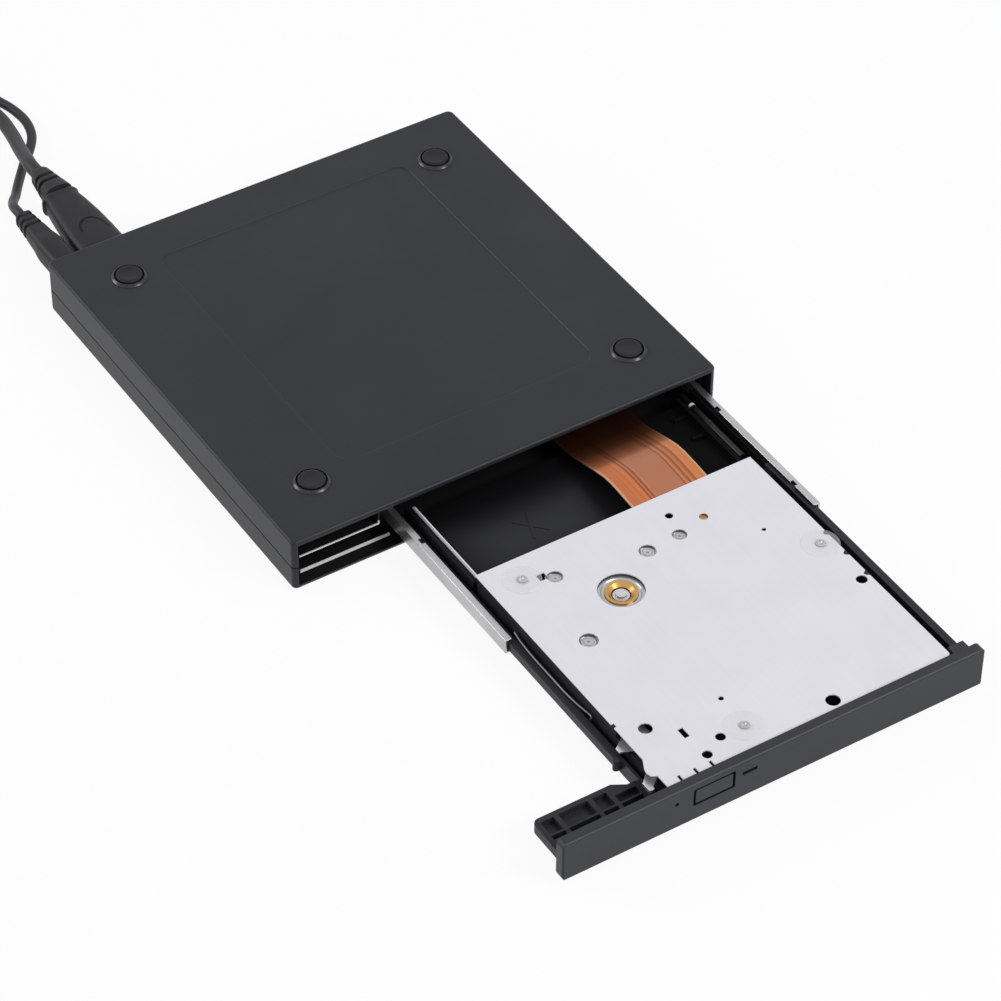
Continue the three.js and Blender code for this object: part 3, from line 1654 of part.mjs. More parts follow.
// A body lofted along y through rounded sections: half width, half height, y
function loft(sections, x, z, sides) {
  const ring = ([halfX, halfZ, y]) =>
    Array.from({ length: sides }, (_, i) => {
      const angle = (2 * Math.PI * (i + 1 / 2)) / sides;
      const c = Math.cos(angle);
      const s = Math.sin(angle);
      return [
        x + halfX * Math.sign(c) * Math.abs(c) ** SQUARENESS,
        y,
        z + halfZ * Math.sign(s) * Math.abs(s) ** SQUARENESS,
      ];
    });
  const rings = sections.map(ring);
  const points = [[x, sections[0][2], z], ...rings.flat(), [x, sections.at(-1)[2], z]];
  const faces = [];
  const at = (r, i) => 1 + r * sides + (i % sides);
  for (let i = 0; i < sides; i += 1) {
    faces.push(0, at(0, i), at(0, i + 1));
    faces.push(points.length - 1, at(rings.length - 1, i + 1), at(rings.length - 1, i));
    for (let r = 0; r + 1 < rings.length; r += 1) {
      faces.push(at(r, i), at(r + 1, i), at(r + 1, i + 1));
      faces.push(at(r, i), at(r + 1, i + 1), at(r, i + 1));
    }
  }
  const geometry = new THREE.BufferGeometry();
  geometry.setAttribute("position", new THREE.Float32BufferAttribute(points.flat(), 3));
  geometry.setIndex(faces);
  return solidFrom(geometry);
}

// Sections of a body from shares of its half width, half height and length
const bodySections = (shares, halfX, halfZ, start, length) =>
  shares.map(([x, z, along]) => [halfX * x, halfZ * z, start + length * along]);

// A strain relief: rings of a tapering sleeve, each with a groove before it
function reliefSections(start, length, wide, narrow, ribs) {
  const pitch = length / ribs;
  return Array.from({ length: ribs }, (_, i) => {
    const half = (wide + ((narrow - wide) * (i + 1)) / ribs) / 2;
    const groove = half * RELIEF.grooveShare;
    const radii = [groove, groove, half, half];
    return RELIEF.pitchShares.map((share, k) => [radii[k], radii[k], start + (i + share) * pitch]);
  }).flat();
}

const plugBack = rearY + GAP * 2;

function usbPlug() {
  const { bodyWidth, bodyHeight, bodyLength, reliefLength, reliefFront, reliefEnd, cord } = USB;
  const x = usbX;
  const end = plugBack + bodyLength;
  const body = loft(
    [
      ...bodySections(USB.bodyShares, bodyWidth / 2, bodyHeight / 2, plugBack, bodyLength),
      [reliefFront / 2, reliefFront / 2, end],
      ...reliefSections(end, reliefLength, reliefFront, reliefEnd, 3),
      [cord / 2, cord / 2, end + reliefLength + cord / 4],
    ],
    x,
    PLUG.z,
    12,
  );
  const [halfX, halfZ] = [USB.shellWidth / 2, USB.shellHeight / 2];
  const tip = rect(x - halfX, x + halfX, PLUG.z - halfZ, PLUG.z + halfZ, GAP);
  return join(body, alongY(tip, bridge.rear - USB.shellLength, plugBack + OVERRUN, 2));
}

function dcPlug() {
  const { body: width, bodyLength, reliefLength, reliefEnd, cord, barrel, barrelLength } = DC;
  const x = dcX;
  const end = plugBack + bodyLength;
  const neck = width * DC.bodyShares.at(-1)[0];
  const body = loft(
    [
      ...bodySections(DC.bodyShares, width / 2, width / 2, plugBack, bodyLength),
      ...reliefSections(end, reliefLength, neck, reliefEnd, 4),
      [cord / 2, cord / 2, end + reliefLength + cord / 4],
    ],
    x,
    PLUG.z,
    12,
  );
  const tipFront = bridge.rear - barrelLength;
  const tip = rod([x, tipFront, PLUG.z], [x, plugBack + OVERRUN, PLUG.z], barrel / 2 - SEAT, 16);
  return join(body, tip);
}

// A coil's strand: spirals in on the lower layer and out on the upper one
function coilOf(cordSet, route) {
  const d = cordSet.cord;
  const pitch = d + COIL.gap;
  const { turns } = cordSet;
  const mean = d * COIL.acrossShare;
  const outer = mean + (pitch * turns) / 4;
  const [x0, y0] = route.at(-1);
  const base = COIL.ties + 2 * COIL.tieGap + d / 2 + SEAT;
  const entry = y0 + d + GAP;
  const centre = [x0 - outer, entry + d, base];
  const radiusAt = (t) => outer - pitch * Math.min(t, turns - t);
  const heightAt = (t) => {
    const share = Math.min(1, Math.max(0, (t - turns / 2) * 2 + 1 / 2));
    return base + (pitch * (1 - Math.cos(Math.PI * share))) / 2;
  };
  const pointAt = (t) => {
    const angle = 2 * Math.PI * t;
    const radius = radiusAt(t);
    return [centre[0] + radius * Math.cos(angle), centre[1] + radius * Math.sin(angle), heightAt(t)];
  };
  const count = Math.round(turns * COIL.stepsPerTurn);
  const points = Array.from({ length: count + 1 }, (_, i) => pointAt((i * turns) / count));
  const angle = 2 * Math.PI * turns;
  const heading = [-Math.sin(angle), Math.cos(angle)];
  const last = points.at(-1);
  points.unshift([points[0][0], entry, base], [points[0][0], entry + d / 2, base]);
  points.push(
    [last[0] + (heading[0] * d) / 2, last[1] + (heading[1] * d) / 2, last[2]],
    [last[0] + heading[0] * d, last[1] + heading[1] * d, last[2]],
  );
  return { d, pitch, turns, outer, centre, base, points, heading, radiusAt, heightAt, end: points.at(-1) };
}

// The least distance between strands that are more than a third of a turn apart, less the diameter
function leastGap(coil) {
  const apart = Math.round(COIL.stepsPerTurn / 3);
  const { points, d } = coil;
  let least = Infinity;
  for (let i = 0; i < points.length; i += 1) {
    for (let j = i + apart; j < points.length; j += 1) {
      least = Math.min(least, Math.hypot(...points[i].map((value, axis) => value - points[j][axis])));
    }
  }
  return least - d;
}

const coilTube = (coil) => cordTube(coil.points, coil.d, COIL.sides, coil.points.length - 1);

// A band round the strands where they pass the near side of the coil
function coilTie(coil) {
  const strands = [];
  for (let t = 3 / 4; t < coil.turns; t += 1) strands.push([coil.radiusAt(t), coil.heightAt(t)]);
  const clear = coil.d / 2 + COIL.tieGap;
  const radii = strands.map(([radius]) => radius);
  const heights = strands.map(([, height]) => height);
  const near = coil.centre[1] - Math.max(...radii) - clear - COIL.tieGap;
  const far = coil.centre[1] - Math.min(...radii) + clear + COIL.tieGap;
  const low = Math.min(...heights) - clear;
  const high = Math.max(...heights) + clear;
  const t = COIL.ties;
  const band = alongX(
    rect(near - t, far + t, low - t, high + t, t),
    coil.centre[0] - COIL.tieWidth / 2,
    coil.centre[0] + COIL.tieWidth / 2,
    3,
  );
  const room = alongX(
    rect(near, far, low, high, t),
    coil.centre[0] - COIL.tieWidth / 2 - OVERRUN,
    coil.centre[0] + COIL.tieWidth / 2 + OVERRUN,
    3,
  );
  return cut(band, room);
}

const hostZ = HOST.height / 2 + SEAT;

// The lead from the coil's end down to the host plug's relief
function leadPoints(coil) {
  const [x, y, z] = coil.end;
  const [hx, hy] = coil.heading;
  return HOST.leadShares.map((share) => {
    const along = GAP + share * HOST.lead;
    const eased = (1 - Math.cos(Math.PI * share)) / 2;
    return [x + hx * along, y + hy * along, z + (hostZ - z) * eased];
  });
}

// Overmould of a host plug, pointing along +y from the origin
function hostPlug(d) {
  const { width, height, bodyLength, reliefLength } = HOST;
  const body = GAP + reliefLength;
  return loft(
    [
      [(d / 2) * 1.1, (d / 2) * 1.1, GAP],
      ...reliefSections(GAP, reliefLength, d * 1.25, d * 1.7, 3),
      ...bodySections(HOST.bodyShares, width / 2, height / 2, body, bodyLength),
    ],
    0,
    0,
    12,
  );
}

function hostShell() {
  const { shellWidth: w, shellHeight: h, shellLength: l, shellWall: wall, reliefLength, bodyLength } = HOST;
  const start = GAP + reliefLength + bodyLength + SEAT;
  const outer = alongY(rect(-w / 2, w / 2, -h / 2, h / 2, wall), start, start + l, 2);
  const inner = alongY(
    rect(-w / 2 + wall, w / 2 - wall, -h / 2 + wall, h / 2 - wall, wall / 2),
    start + wall,
    start + l + OVERRUN,
    2,
  );
  const half = w / 2 - wall * 2;
  const tongue = box(-half, half, start + wall / 2, start + l - wall * 4, 0, h / 2 - wall * 2);
  return join(cut(outer, inner), tongue);
}

// Assembly

function piece(name, solid, material, place = [0, 0, 0]) {
  const mesh = new THREE.Mesh(geometryOf(solid), material);
  mesh.name = name;
  mesh.position.set(...place);
  return mesh;
}

function group(...members) {
  const made = new THREE.Group();
  made.add(...members);
  return made;
}

const footNames = ["foot_front_left", "foot_rear_left", "foot_front_right", "foot_rear_right"];
const casing = group(
  piece("bottom_shell", bottomShell(), finishes.shell),
  piece("top_shell", topShell(), finishes.shell),
  ...footPlaces.map(([x, y], i) => piece(footNames[i], foot(), finishes.rubber, [x, y, 0])),
  piece("bridge_board", bridgeBoard(), finishes.board),
  piece("usb_socket", usbSocket(), finishes.steel),
  piece("dc_jack", dcJack(), finishes.tray),
);

const guideLeftOuter = stepX + DRIVE.sheet + SEAT;
const housing = group(
  piece("housing_pan", housingPan(), finishes.plateSteel),
  piece("housing_cover", housingCover(), finishes.plateSteel),
  piece("main_board", mainBoard(), finishes.board),
  piece("slim_connector", slimConnector(), finishes.tray),
  piece("rail_guide_left", railGuide(guideLeftOuter, railOuterLeft - GAP, 1), finishes.tray),
  piece("rail_guide_right", railGuide(driveRight - DRIVE.sheet - SEAT, guideWebRight, -1), finishes.tray),
  piece("flex_cable", flexCable(), finishes.copper),
);

const rails = group(
  piece("rail_left", rail(railOuterLeft, 1, RAIL.notchShares.left), finishes.steel),
  piece("rail_right", rail(railOuterRight, -1, RAIL.notchShares.right), finishes.steel),
);

const washerNames = ["washer_right", "washer_rear_left", "washer_front"];
const drawer = group(
  piece("tray", tray(), finishes.tray),
  piece("bezel", bezel(), finishes.bezel),
  piece("eject_button", ejectButton(), finishes.bezel),
  piece("light_pipe", lightPipe(), finishes.clear),
  piece("tray_plate", trayPlate(), finishes.plateSteel),
  piece("tray_board", trayBoard(), finishes.board),
  piece("latch_lever", latchLever(), finishes.steel),
  piece("latch_solenoid", latchSolenoid(), finishes.darkSteel),
  piece("ejector_plunger", ejectorPlunger(), finishes.tray),
  piece("wire_spring", wireSpring(), finishes.steel),
  piece("earth_strip", earthStrip(), finishes.steel),
  ...WASHER.placeShares.map(([across, along], i) =>
    piece(washerNames[i], washer(), finishes.clear, [...platePoint(across, along), plateTop + SEAT]),
  ),
);

const traverse = group(
  piece("traverse_chassis", traverseChassis(), finishes.darkSteel),
  piece("spindle_motor", spindleMotor(), finishes.brass),
  piece("turntable", turntable(), finishes.steel),
  piece("guide_rod_near", guideRod(-TRAVERSE.rodOffset), finishes.steel),
  piece("guide_rod_far", guideRod(TRAVERSE.rodOffset), finishes.steel),
  piece("feed_motor", feedMotor(), finishes.steel),
  piece("lead_screw", leadScrew(), finishes.brass),
  piece("pickup", pickup(), finishes.darkSteel),
  piece("lens", lens(), finishes.glass),
);
traverse.position.set(spindleX, spindleY, 0);
traverse.rotation.z = traverseTurn;

function cordGroup(name, cordSet, handRoute, plug, sides) {
  const route = handRoute.map(([across, behind, height]) => [plug.x + across, rearY + behind, height]);
  const coil = coilOf(cordSet, route);
  console.log(name + " coil, least gap between turns " + leastGap(coil).toFixed(2) + " mm");
  const end = coil.points[0];
  const routeEnd = [end[0], end[1] - GAP, end[2]];
  const points = [...route.slice(0, -1), [end[0], end[1] - GAP - coil.d, end[2]], routeEnd];
  const free = [[plug.x, plug.end, PLUG.z], [plug.x, plug.end + coil.d, PLUG.z], ...points];
  const lead = leadPoints(coil);
  const leadEnd = lead.at(-1);
  const heading = Math.atan2(-coil.heading[0], coil.heading[1]);
  const host = group(
    piece(name + "_host_plug", hostPlug(coil.d), finishes.cord),
    piece(name + "_host_shell", hostShell(), finishes.steel),
  );
  host.position.set(...leadEnd);
  host.rotation.z = heading;
  return group(
    piece(name + "_plug", plug.solid, finishes.cord),
    piece(name + "_cord", cordTube(free, coil.d, sides, cordSet.steps), finishes.cord),
    piece(name + "_coil", coilTube(coil), finishes.cord),
    piece(name + "_tie", coilTie(coil), finishes.tray),
    piece(name + "_lead", cordTube(lead, coil.d, sides, HOST.leadSteps), finishes.cord),
    host,
  );
}

// Where a cord starts behind its plug
const cordStart = (set) => plugBack + set.bodyLength + set.reliefLength + set.cord / 4 + GAP;

const cords = group(
  cordGroup("usb", USB, USB_ROUTE, { solid: usbPlug(), x: usbX, end: cordStart(USB) }, 10),
  cordGroup("dc", DC, DC_ROUTE, { solid: dcPlug(), x: dcX, end: cordStart(DC) }, 8),
);

export default group(casing, housing, rails, drawer, traverse, cords);
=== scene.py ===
"""Looks of an external slim optical drive that lies feet up with its tray pulled out.

Sizes are in millimetres and meshes are scaled to metres when they are made. Places come from the
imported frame's nodes where a piece stands for one.
"""

import logging
import math
from dataclasses import dataclass, field
from enum import Enum
from typing import Callable, Sequence

import bmesh
import bpy
from mathutils import Matrix, Vector


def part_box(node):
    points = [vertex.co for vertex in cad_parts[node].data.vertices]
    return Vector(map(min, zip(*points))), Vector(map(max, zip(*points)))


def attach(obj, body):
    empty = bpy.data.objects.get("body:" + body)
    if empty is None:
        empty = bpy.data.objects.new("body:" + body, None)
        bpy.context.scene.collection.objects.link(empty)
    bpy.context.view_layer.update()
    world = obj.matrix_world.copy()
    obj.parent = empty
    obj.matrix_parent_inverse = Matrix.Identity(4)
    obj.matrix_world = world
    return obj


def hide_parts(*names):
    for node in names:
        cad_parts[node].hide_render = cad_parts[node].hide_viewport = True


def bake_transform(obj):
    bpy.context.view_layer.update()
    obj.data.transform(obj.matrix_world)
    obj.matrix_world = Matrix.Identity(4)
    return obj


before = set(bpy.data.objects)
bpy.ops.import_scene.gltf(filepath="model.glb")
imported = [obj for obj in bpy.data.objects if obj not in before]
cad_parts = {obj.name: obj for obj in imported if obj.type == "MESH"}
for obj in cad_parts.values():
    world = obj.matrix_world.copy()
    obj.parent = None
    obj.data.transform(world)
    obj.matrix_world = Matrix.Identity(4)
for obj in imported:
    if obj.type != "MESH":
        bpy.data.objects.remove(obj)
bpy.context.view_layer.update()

MM = 0.001
SEAT = 0.05  # between pieces that rest on each other
GAP = 0.3  # between pieces that move past each other
WELD = 1e-4  # nearest that two points of a made mesh may come
WELD_SWEPT = 0.0005  # the same for a swept mesh
WELD_PACKED = 0.002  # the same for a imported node's mesh
FLAT_ANGLE = 1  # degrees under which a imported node's triangles become one face
OVERRUN = 1  # by which a cutter passes the surface it leaves through
EDGE_STEPS = 2  # chords of a broken edge
EDGE_ANGLE = 35  # degrees between the faces of an edge that is broken
PLAIN_SHADE = 32  # degrees under which an edge is shaded smooth
ROUND_SHADE = 60  # the same for bent and swept pieces
FLAT_WEIGHT = 90  # pull of large faces on the shading beside them
THIN_EDGE = 0.05  # broken edges of the thinnest strips
FINE_EDGE = 0.06  # broken edges of sheet, of turned pieces and of the moulded cross
SHELL_EDGE = 0.08  # broken edges of the host plugs' shells
PLAIN_EDGE = 0.1  # broken edges of small mouldings
CASE_EDGE = 0.12  # broken edges of the case and of the ties
CORD_CHORDS = (8, 2, 6)  # per span of a cord's free run, of its coil and of its lead
IMAGE_SIDE = 1001  # pixels of the square picture
SQUARENESS = 0.6  # exponent of an overmould's rounded section, 1 for an ellipse

log = logging.getLogger("drive")

Point2 = tuple[float, float]
Point3 = tuple[float, float, float]
Outline = list[Point2]
Object = bpy.types.Object
Socket = bpy.types.NodeSocket


class Body(Enum):
    """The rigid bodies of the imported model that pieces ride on."""

    ENCLOSURE = "enclosure"
    TRAY = "tray_unit"
    LEFT_RAIL = "left_rail"
    RIGHT_RAIL = "right_rail"
    BUTTON = "button"
    LATCH = "latch"
    EJECTOR = "ejector"
    DISC_HUB = "disc_hub"


class Axis(Enum):
    """The axis that an outline is carried along."""

    Y = "y"
    Z = "z"


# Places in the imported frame


def span(node: str) -> tuple[Vector, Vector]:
    """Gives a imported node's box.

    Args:
        node: Name of the node.

    Returns:
        Its lowest and highest corners, in millimetres.
    """
    low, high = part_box(node)
    return low / MM, high / MM


def centre_of(node: str) -> Vector:
    """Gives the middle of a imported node's box.

    Args:
        node: Name of the node.

    Returns:
        The middle, in millimetres.
    """
    low, high = span(node)
    return (low + high) / 2


# Outlines


def arc(centre: Point2, radius: float, start: float, end: float, steps: int) -> Outline:
    """Gives the points of an arc.

    Args:
        centre: Centre of the arc.
        radius: Its radius.
        start: Angle of the first point, in degrees.
        end: Angle of the last point, in degrees.
        steps: Number of chords.

    Returns:
        The points from start to end.
    """
    angles = [math.radians(start + (end - start) * i / steps) for i in range(steps + 1)]
    return [(centre[0] + radius * math.cos(a), centre[1] + radius * math.sin(a)) for a in angles]


def circle(centre: Point2, radius: float, steps: int = 48) -> Outline:
    """Gives the points of a full circle.

    Args:
        centre: Its centre.
        radius: Its radius.
        steps: Number of chords.

    Returns:
        The points, the first not repeated.
    """
    return arc(centre, radius, 0, 360, steps)[:-1]


def rounded(low: Point2, high: Point2, radii: float | Sequence[float] = 0, steps: int = 8) -> Outline:
    """Gives a rectangle with rounded corners.

    Args:
        low: Lowest corner.
        high: Highest corner.
        radii: One radius, or four for front left, front right, rear right and rear left.
        steps: Chords of each corner.

    Returns:
        The outline, counterclockwise.
    """
    front_left, front_right, rear_right, rear_left = (
        [radii] * 4 if isinstance(radii, (int, float)) else list(radii)
    )
    corners = [
        ((low[0] + front_left, low[1] + front_left), front_left, 180),
        ((high[0] - front_right, low[1] + front_right), front_right, 270),
        ((high[0] - rear_right, high[1] - rear_right), rear_right, 0),
        ((low[0] + rear_left, high[1] - rear_left), rear_left, 90),
    ]
    points: Outline = []
    for centre, radius, start in corners:
        points += arc(centre, radius, start, start + 90, steps) if radius > 0 else [centre]
    return points


# Solids


def object_from(name: str, bm: bmesh.types.BMesh) -> Object:
    """Makes an object from a mesh in millimetres.

    Args:
        name: Name of the object.
        bm: The mesh, which is freed.

    Returns:
        The object, in metres, linked to the scene.
    """
    bmesh.ops.remove_doubles(bm, verts=bm.verts, dist=WELD)
    bmesh.ops.recalc_face_normals(bm, faces=bm.faces)
    bmesh.ops.scale(bm, vec=(MM, MM, MM), verts=bm.verts)
    mesh = bpy.data.meshes.new(name)
    bm.to_mesh(mesh)
    bm.free()
    made = bpy.data.objects.new(name, mesh)
    bpy.context.scene.collection.objects.link(made)
    return made


def skin(name: str, rings: Sequence[Sequence[Point3]], looped: bool = False) -> Object:
    """Makes a solid from rings of points, each joined to the next.

    Args:
        name: Name of the object.
        rings: The rings, each with as many points; a ring of one point is a pole.
        looped: Joins the last ring to the first; otherwise both are capped.

    Returns:
        The object.
    """
    bm = bmesh.new()
    made = [[bm.verts.new(point) for point in ring] for ring in rings]
    for first, second in zip(made, [*made[1:], made[0]] if looped else made[1:]):
        count = max(len(first), len(second))
        for i in range(count):
            j = (i + 1) % count
            near, far = len(first), len(second)
            corners = [first[i % near], first[j % near], second[j % far], second[i % far]]
            unique = list(dict.fromkeys(corners))
            if len(unique) > 2:
                bm.faces.new(unique)
    for ring in () if looped else (made[0], made[-1]):
        if len(ring) > 2:
            bm.faces.new(ring)
    return object_from(name, bm)


def lift(outline: Outline, height: float, axis: Axis = Axis.Z) -> list[Point3]:
    """Places an outline square to an axis.

    Args:
        outline: x and y for axis Z, x and z for Y.
        height: Its place along the axis.
        axis: The axis.

    Returns:
        The points.
    """
    if axis is Axis.Y:
        return [(a, height, b) for a, b in outline]
    return [(a, b, height) for a, b in outline]


def prism(outline: Outline, low: float, high: float, axis: Axis = Axis.Z, name: str = "prism") -> Object:
    """Makes an outline into a prism.

    Args:
        outline: x and y for axis Z, x and z for Y.
        low: Where the prism starts along the axis.
        high: Where it ends.
        axis: The axis it runs along.
        name: Name of the object.

    Returns:
        The object.
    """
    return skin(name, [lift(outline, low, axis), lift(outline, high, axis)])


def block(low: Point3, high: Point3, name: str = "block") -> Object:
    """Makes a plain block, as a cutter or a part of a larger piece.

    Args:
        low: Lowest corner.
        high: Highest corner.
        name: Name of the object.

    Returns:
        The block.
    """
    return prism(rounded(low[:2], high[:2]), low[2], high[2], Axis.Z, name)


def soft_prism(
    outline: Callable[[float], Outline],
    low: float,
    high: float,
    edges: tuple[float, float],
    steps: int = 6,
    name: str = "soft_prism",
) -> Object:
    """Makes a prism whose lower and upper rims are rounded over.

    Args:
        outline: Gives the outline for an inset.
        low: Lowest height.
        high: Highest height.
        edges: Radii of the lower and the upper rim, 0 for a sharp one.
        steps: Chords of each rim.
        name: Name of the object.

    Returns:
        The object.
    """
    rings = []
    lower, upper = edges
    for i in range(steps + 1 if lower else 0):
        angle = math.pi / 2 * i / steps
        rings.append(lift(outline(lower * (1 - math.sin(angle))), low + lower * (1 - math.cos(angle))))
    if not lower:
        rings.append(lift(outline(0), low))
    for i in range(steps + 1 if upper else 0):
        angle = math.pi / 2 * i / steps
        rings.append(lift(outline(upper * (1 - math.cos(angle))), high - upper * (1 - math.sin(angle))))
    if not upper:
        rings.append(lift(outline(0), high))
    return skin(name, rings)


def turned(
    profile: Sequence[Point2],
    centre: Point3 = (0, 0, 0),
    steps: int = 64,
    name: str = "turned",
    looped: bool = False,
) -> Object:
    """Turns a profile about an upright axis.

    Args:
        profile: Radius and height of each point, from one end to the other.
        centre: Where the axis starts.
        steps: Points of each ring.
        name: Name of the object.
        looped: Closes the profile on itself, for a ring with a hole.

    Returns:
        The object.
    """
    rings = []
    for radius, height in profile:
        if radius <= 0:
            rings.append([(0.0, 0.0, height)])
        else:
            rings.append(lift(circle((0, 0), radius, steps), height))
    made = skin(name, rings, looped)
    made.data.transform(Matrix.Translation(Vector(centre) * MM))
    return made


def bake(piece: Object) -> Object:
    """Turns a piece's modifiers into its mesh and removes them.

    Args:
        piece: The piece.

    Returns:
        The piece, with a new mesh.
    """
    evaluated = piece.evaluated_get(bpy.context.evaluated_depsgraph_get())
    mesh = bpy.data.meshes.new_from_object(evaluated)
    piece.modifiers.clear()
    old = piece.data
    piece.data = mesh
    bpy.data.meshes.remove(old)
    return piece


def discard(*pieces: Object) -> None:
    """Removes helper objects.

    Args:
        *pieces: The objects.
    """
    for piece in pieces:
        bpy.data.objects.remove(piece)


def combine(base: Object, tools: Sequence[Object], operation: str) -> Object:
    """Joins solids to a base or cuts them from it, and removes them.

    Args:
        base: The solid that is changed.
        tools: The other solids.
        operation: UNION or DIFFERENCE.

    Returns:
        The base.
    """
    for tool in tools:
        modifier = base.modifiers.new("combine", "BOOLEAN")
        modifier.object = tool
        modifier.operation = operation
        modifier.solver = "EXACT"
    bake(base)
    discard(*tools)
    return base


def cut(base: Object, *tools: Object) -> Object:
    """Cuts solids from a base.

    Args:
        base: The solid that is cut.
        *tools: The cutters, which are removed.

    Returns:
        The base.
    """
    return combine(base, tools, "DIFFERENCE")


def join(base: Object, *tools: Object) -> Object:
    """Joins solids to a base.

    Args:
        base: The solid that grows.
        *tools: The others, which are removed.

    Returns:
        The base.
    """
    return combine(base, tools, "UNION")


def break_edges(piece: Object, width: float) -> Object:
    """Rounds the sharp edges of a piece a little.

    Args:
        piece: The piece.
        width: Width of the rounding, in millimetres.

    Returns:
        The piece.
    """
    modifier = piece.modifiers.new("edges", "BEVEL")
    modifier.width = width * MM
    modifier.segments = EDGE_STEPS
    modifier.limit_method = "ANGLE"
    modifier.angle_limit = math.radians(EDGE_ANGLE)
    modifier.use_clamp_overlap = False
    modifier.miter_outer = "MITER_ARC"
    modifier.harden_normals = False
    return bake(piece)


def smooth(piece: Object, angle: float = PLAIN_SHADE) -> Object:
    """Shades a piece smooth up to an angle between faces, its large faces flat.

    Args:
        piece: The piece.
        angle: The angle, in degrees.

    Returns:
        The piece.
    """
    mesh = piece.data
    mesh.polygons.foreach_set("use_smooth", [True] * len(mesh.polygons))
    mesh.set_sharp_from_angle(angle=math.radians(angle))
    mesh.update()
    modifier = piece.modifiers.new("flat_faces", "WEIGHTED_NORMAL")
    modifier.mode = "FACE_AREA"
    modifier.weight = FLAT_WEIGHT
    modifier.keep_sharp = True
    return bake(piece)


def copy_of(node: str, name: str, width: float = 0) -> Object:
    """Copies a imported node's mesh, merges its triangles into faces and rounds its edges.

    Args:
        node: Name of the node.
        name: Name of the copy.
        width: Width of the rounding, in millimetres; 0 leaves the edges sharp.

    Returns:
        The copy.
    """
    bm = bmesh.new()
    bm.from_mesh(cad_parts[node].data)
    bmesh.ops.remove_doubles(bm, verts=bm.verts, dist=WELD_PACKED * MM)
    bmesh.ops.dissolve_limit(
        bm, angle_limit=math.radians(FLAT_ANGLE), verts=bm.verts, edges=bm.edges
    )
    mesh = bpy.data.meshes.new(name)
    bm.to_mesh(mesh)
    bm.free()
    made = bpy.data.objects.new(name, mesh)
    bpy.context.scene.collection.objects.link(made)
    return break_edges(made, width) if width else made


# Materials


def linear(red: int, green: int, blue: int) -> tuple[float, float, float, float]:
    """Turns a display colour into a linear one.

    Args:
        red: From 0 to 255.
        green: From 0 to 255.
        blue: From 0 to 255.

    Returns:
        The linear colour, with full alpha.
    """

    def channel(value: int) -> float:
        """Turns one channel.

        Args:
            value: From 0 to 255.

        Returns:
            Its linear value.
        """
        share = value / 255
        return share / 12.92 if share <= 0.04045 else ((share + 0.055) / 1.055) ** 2.4

    return (channel(red), channel(green), channel(blue), 1.0)


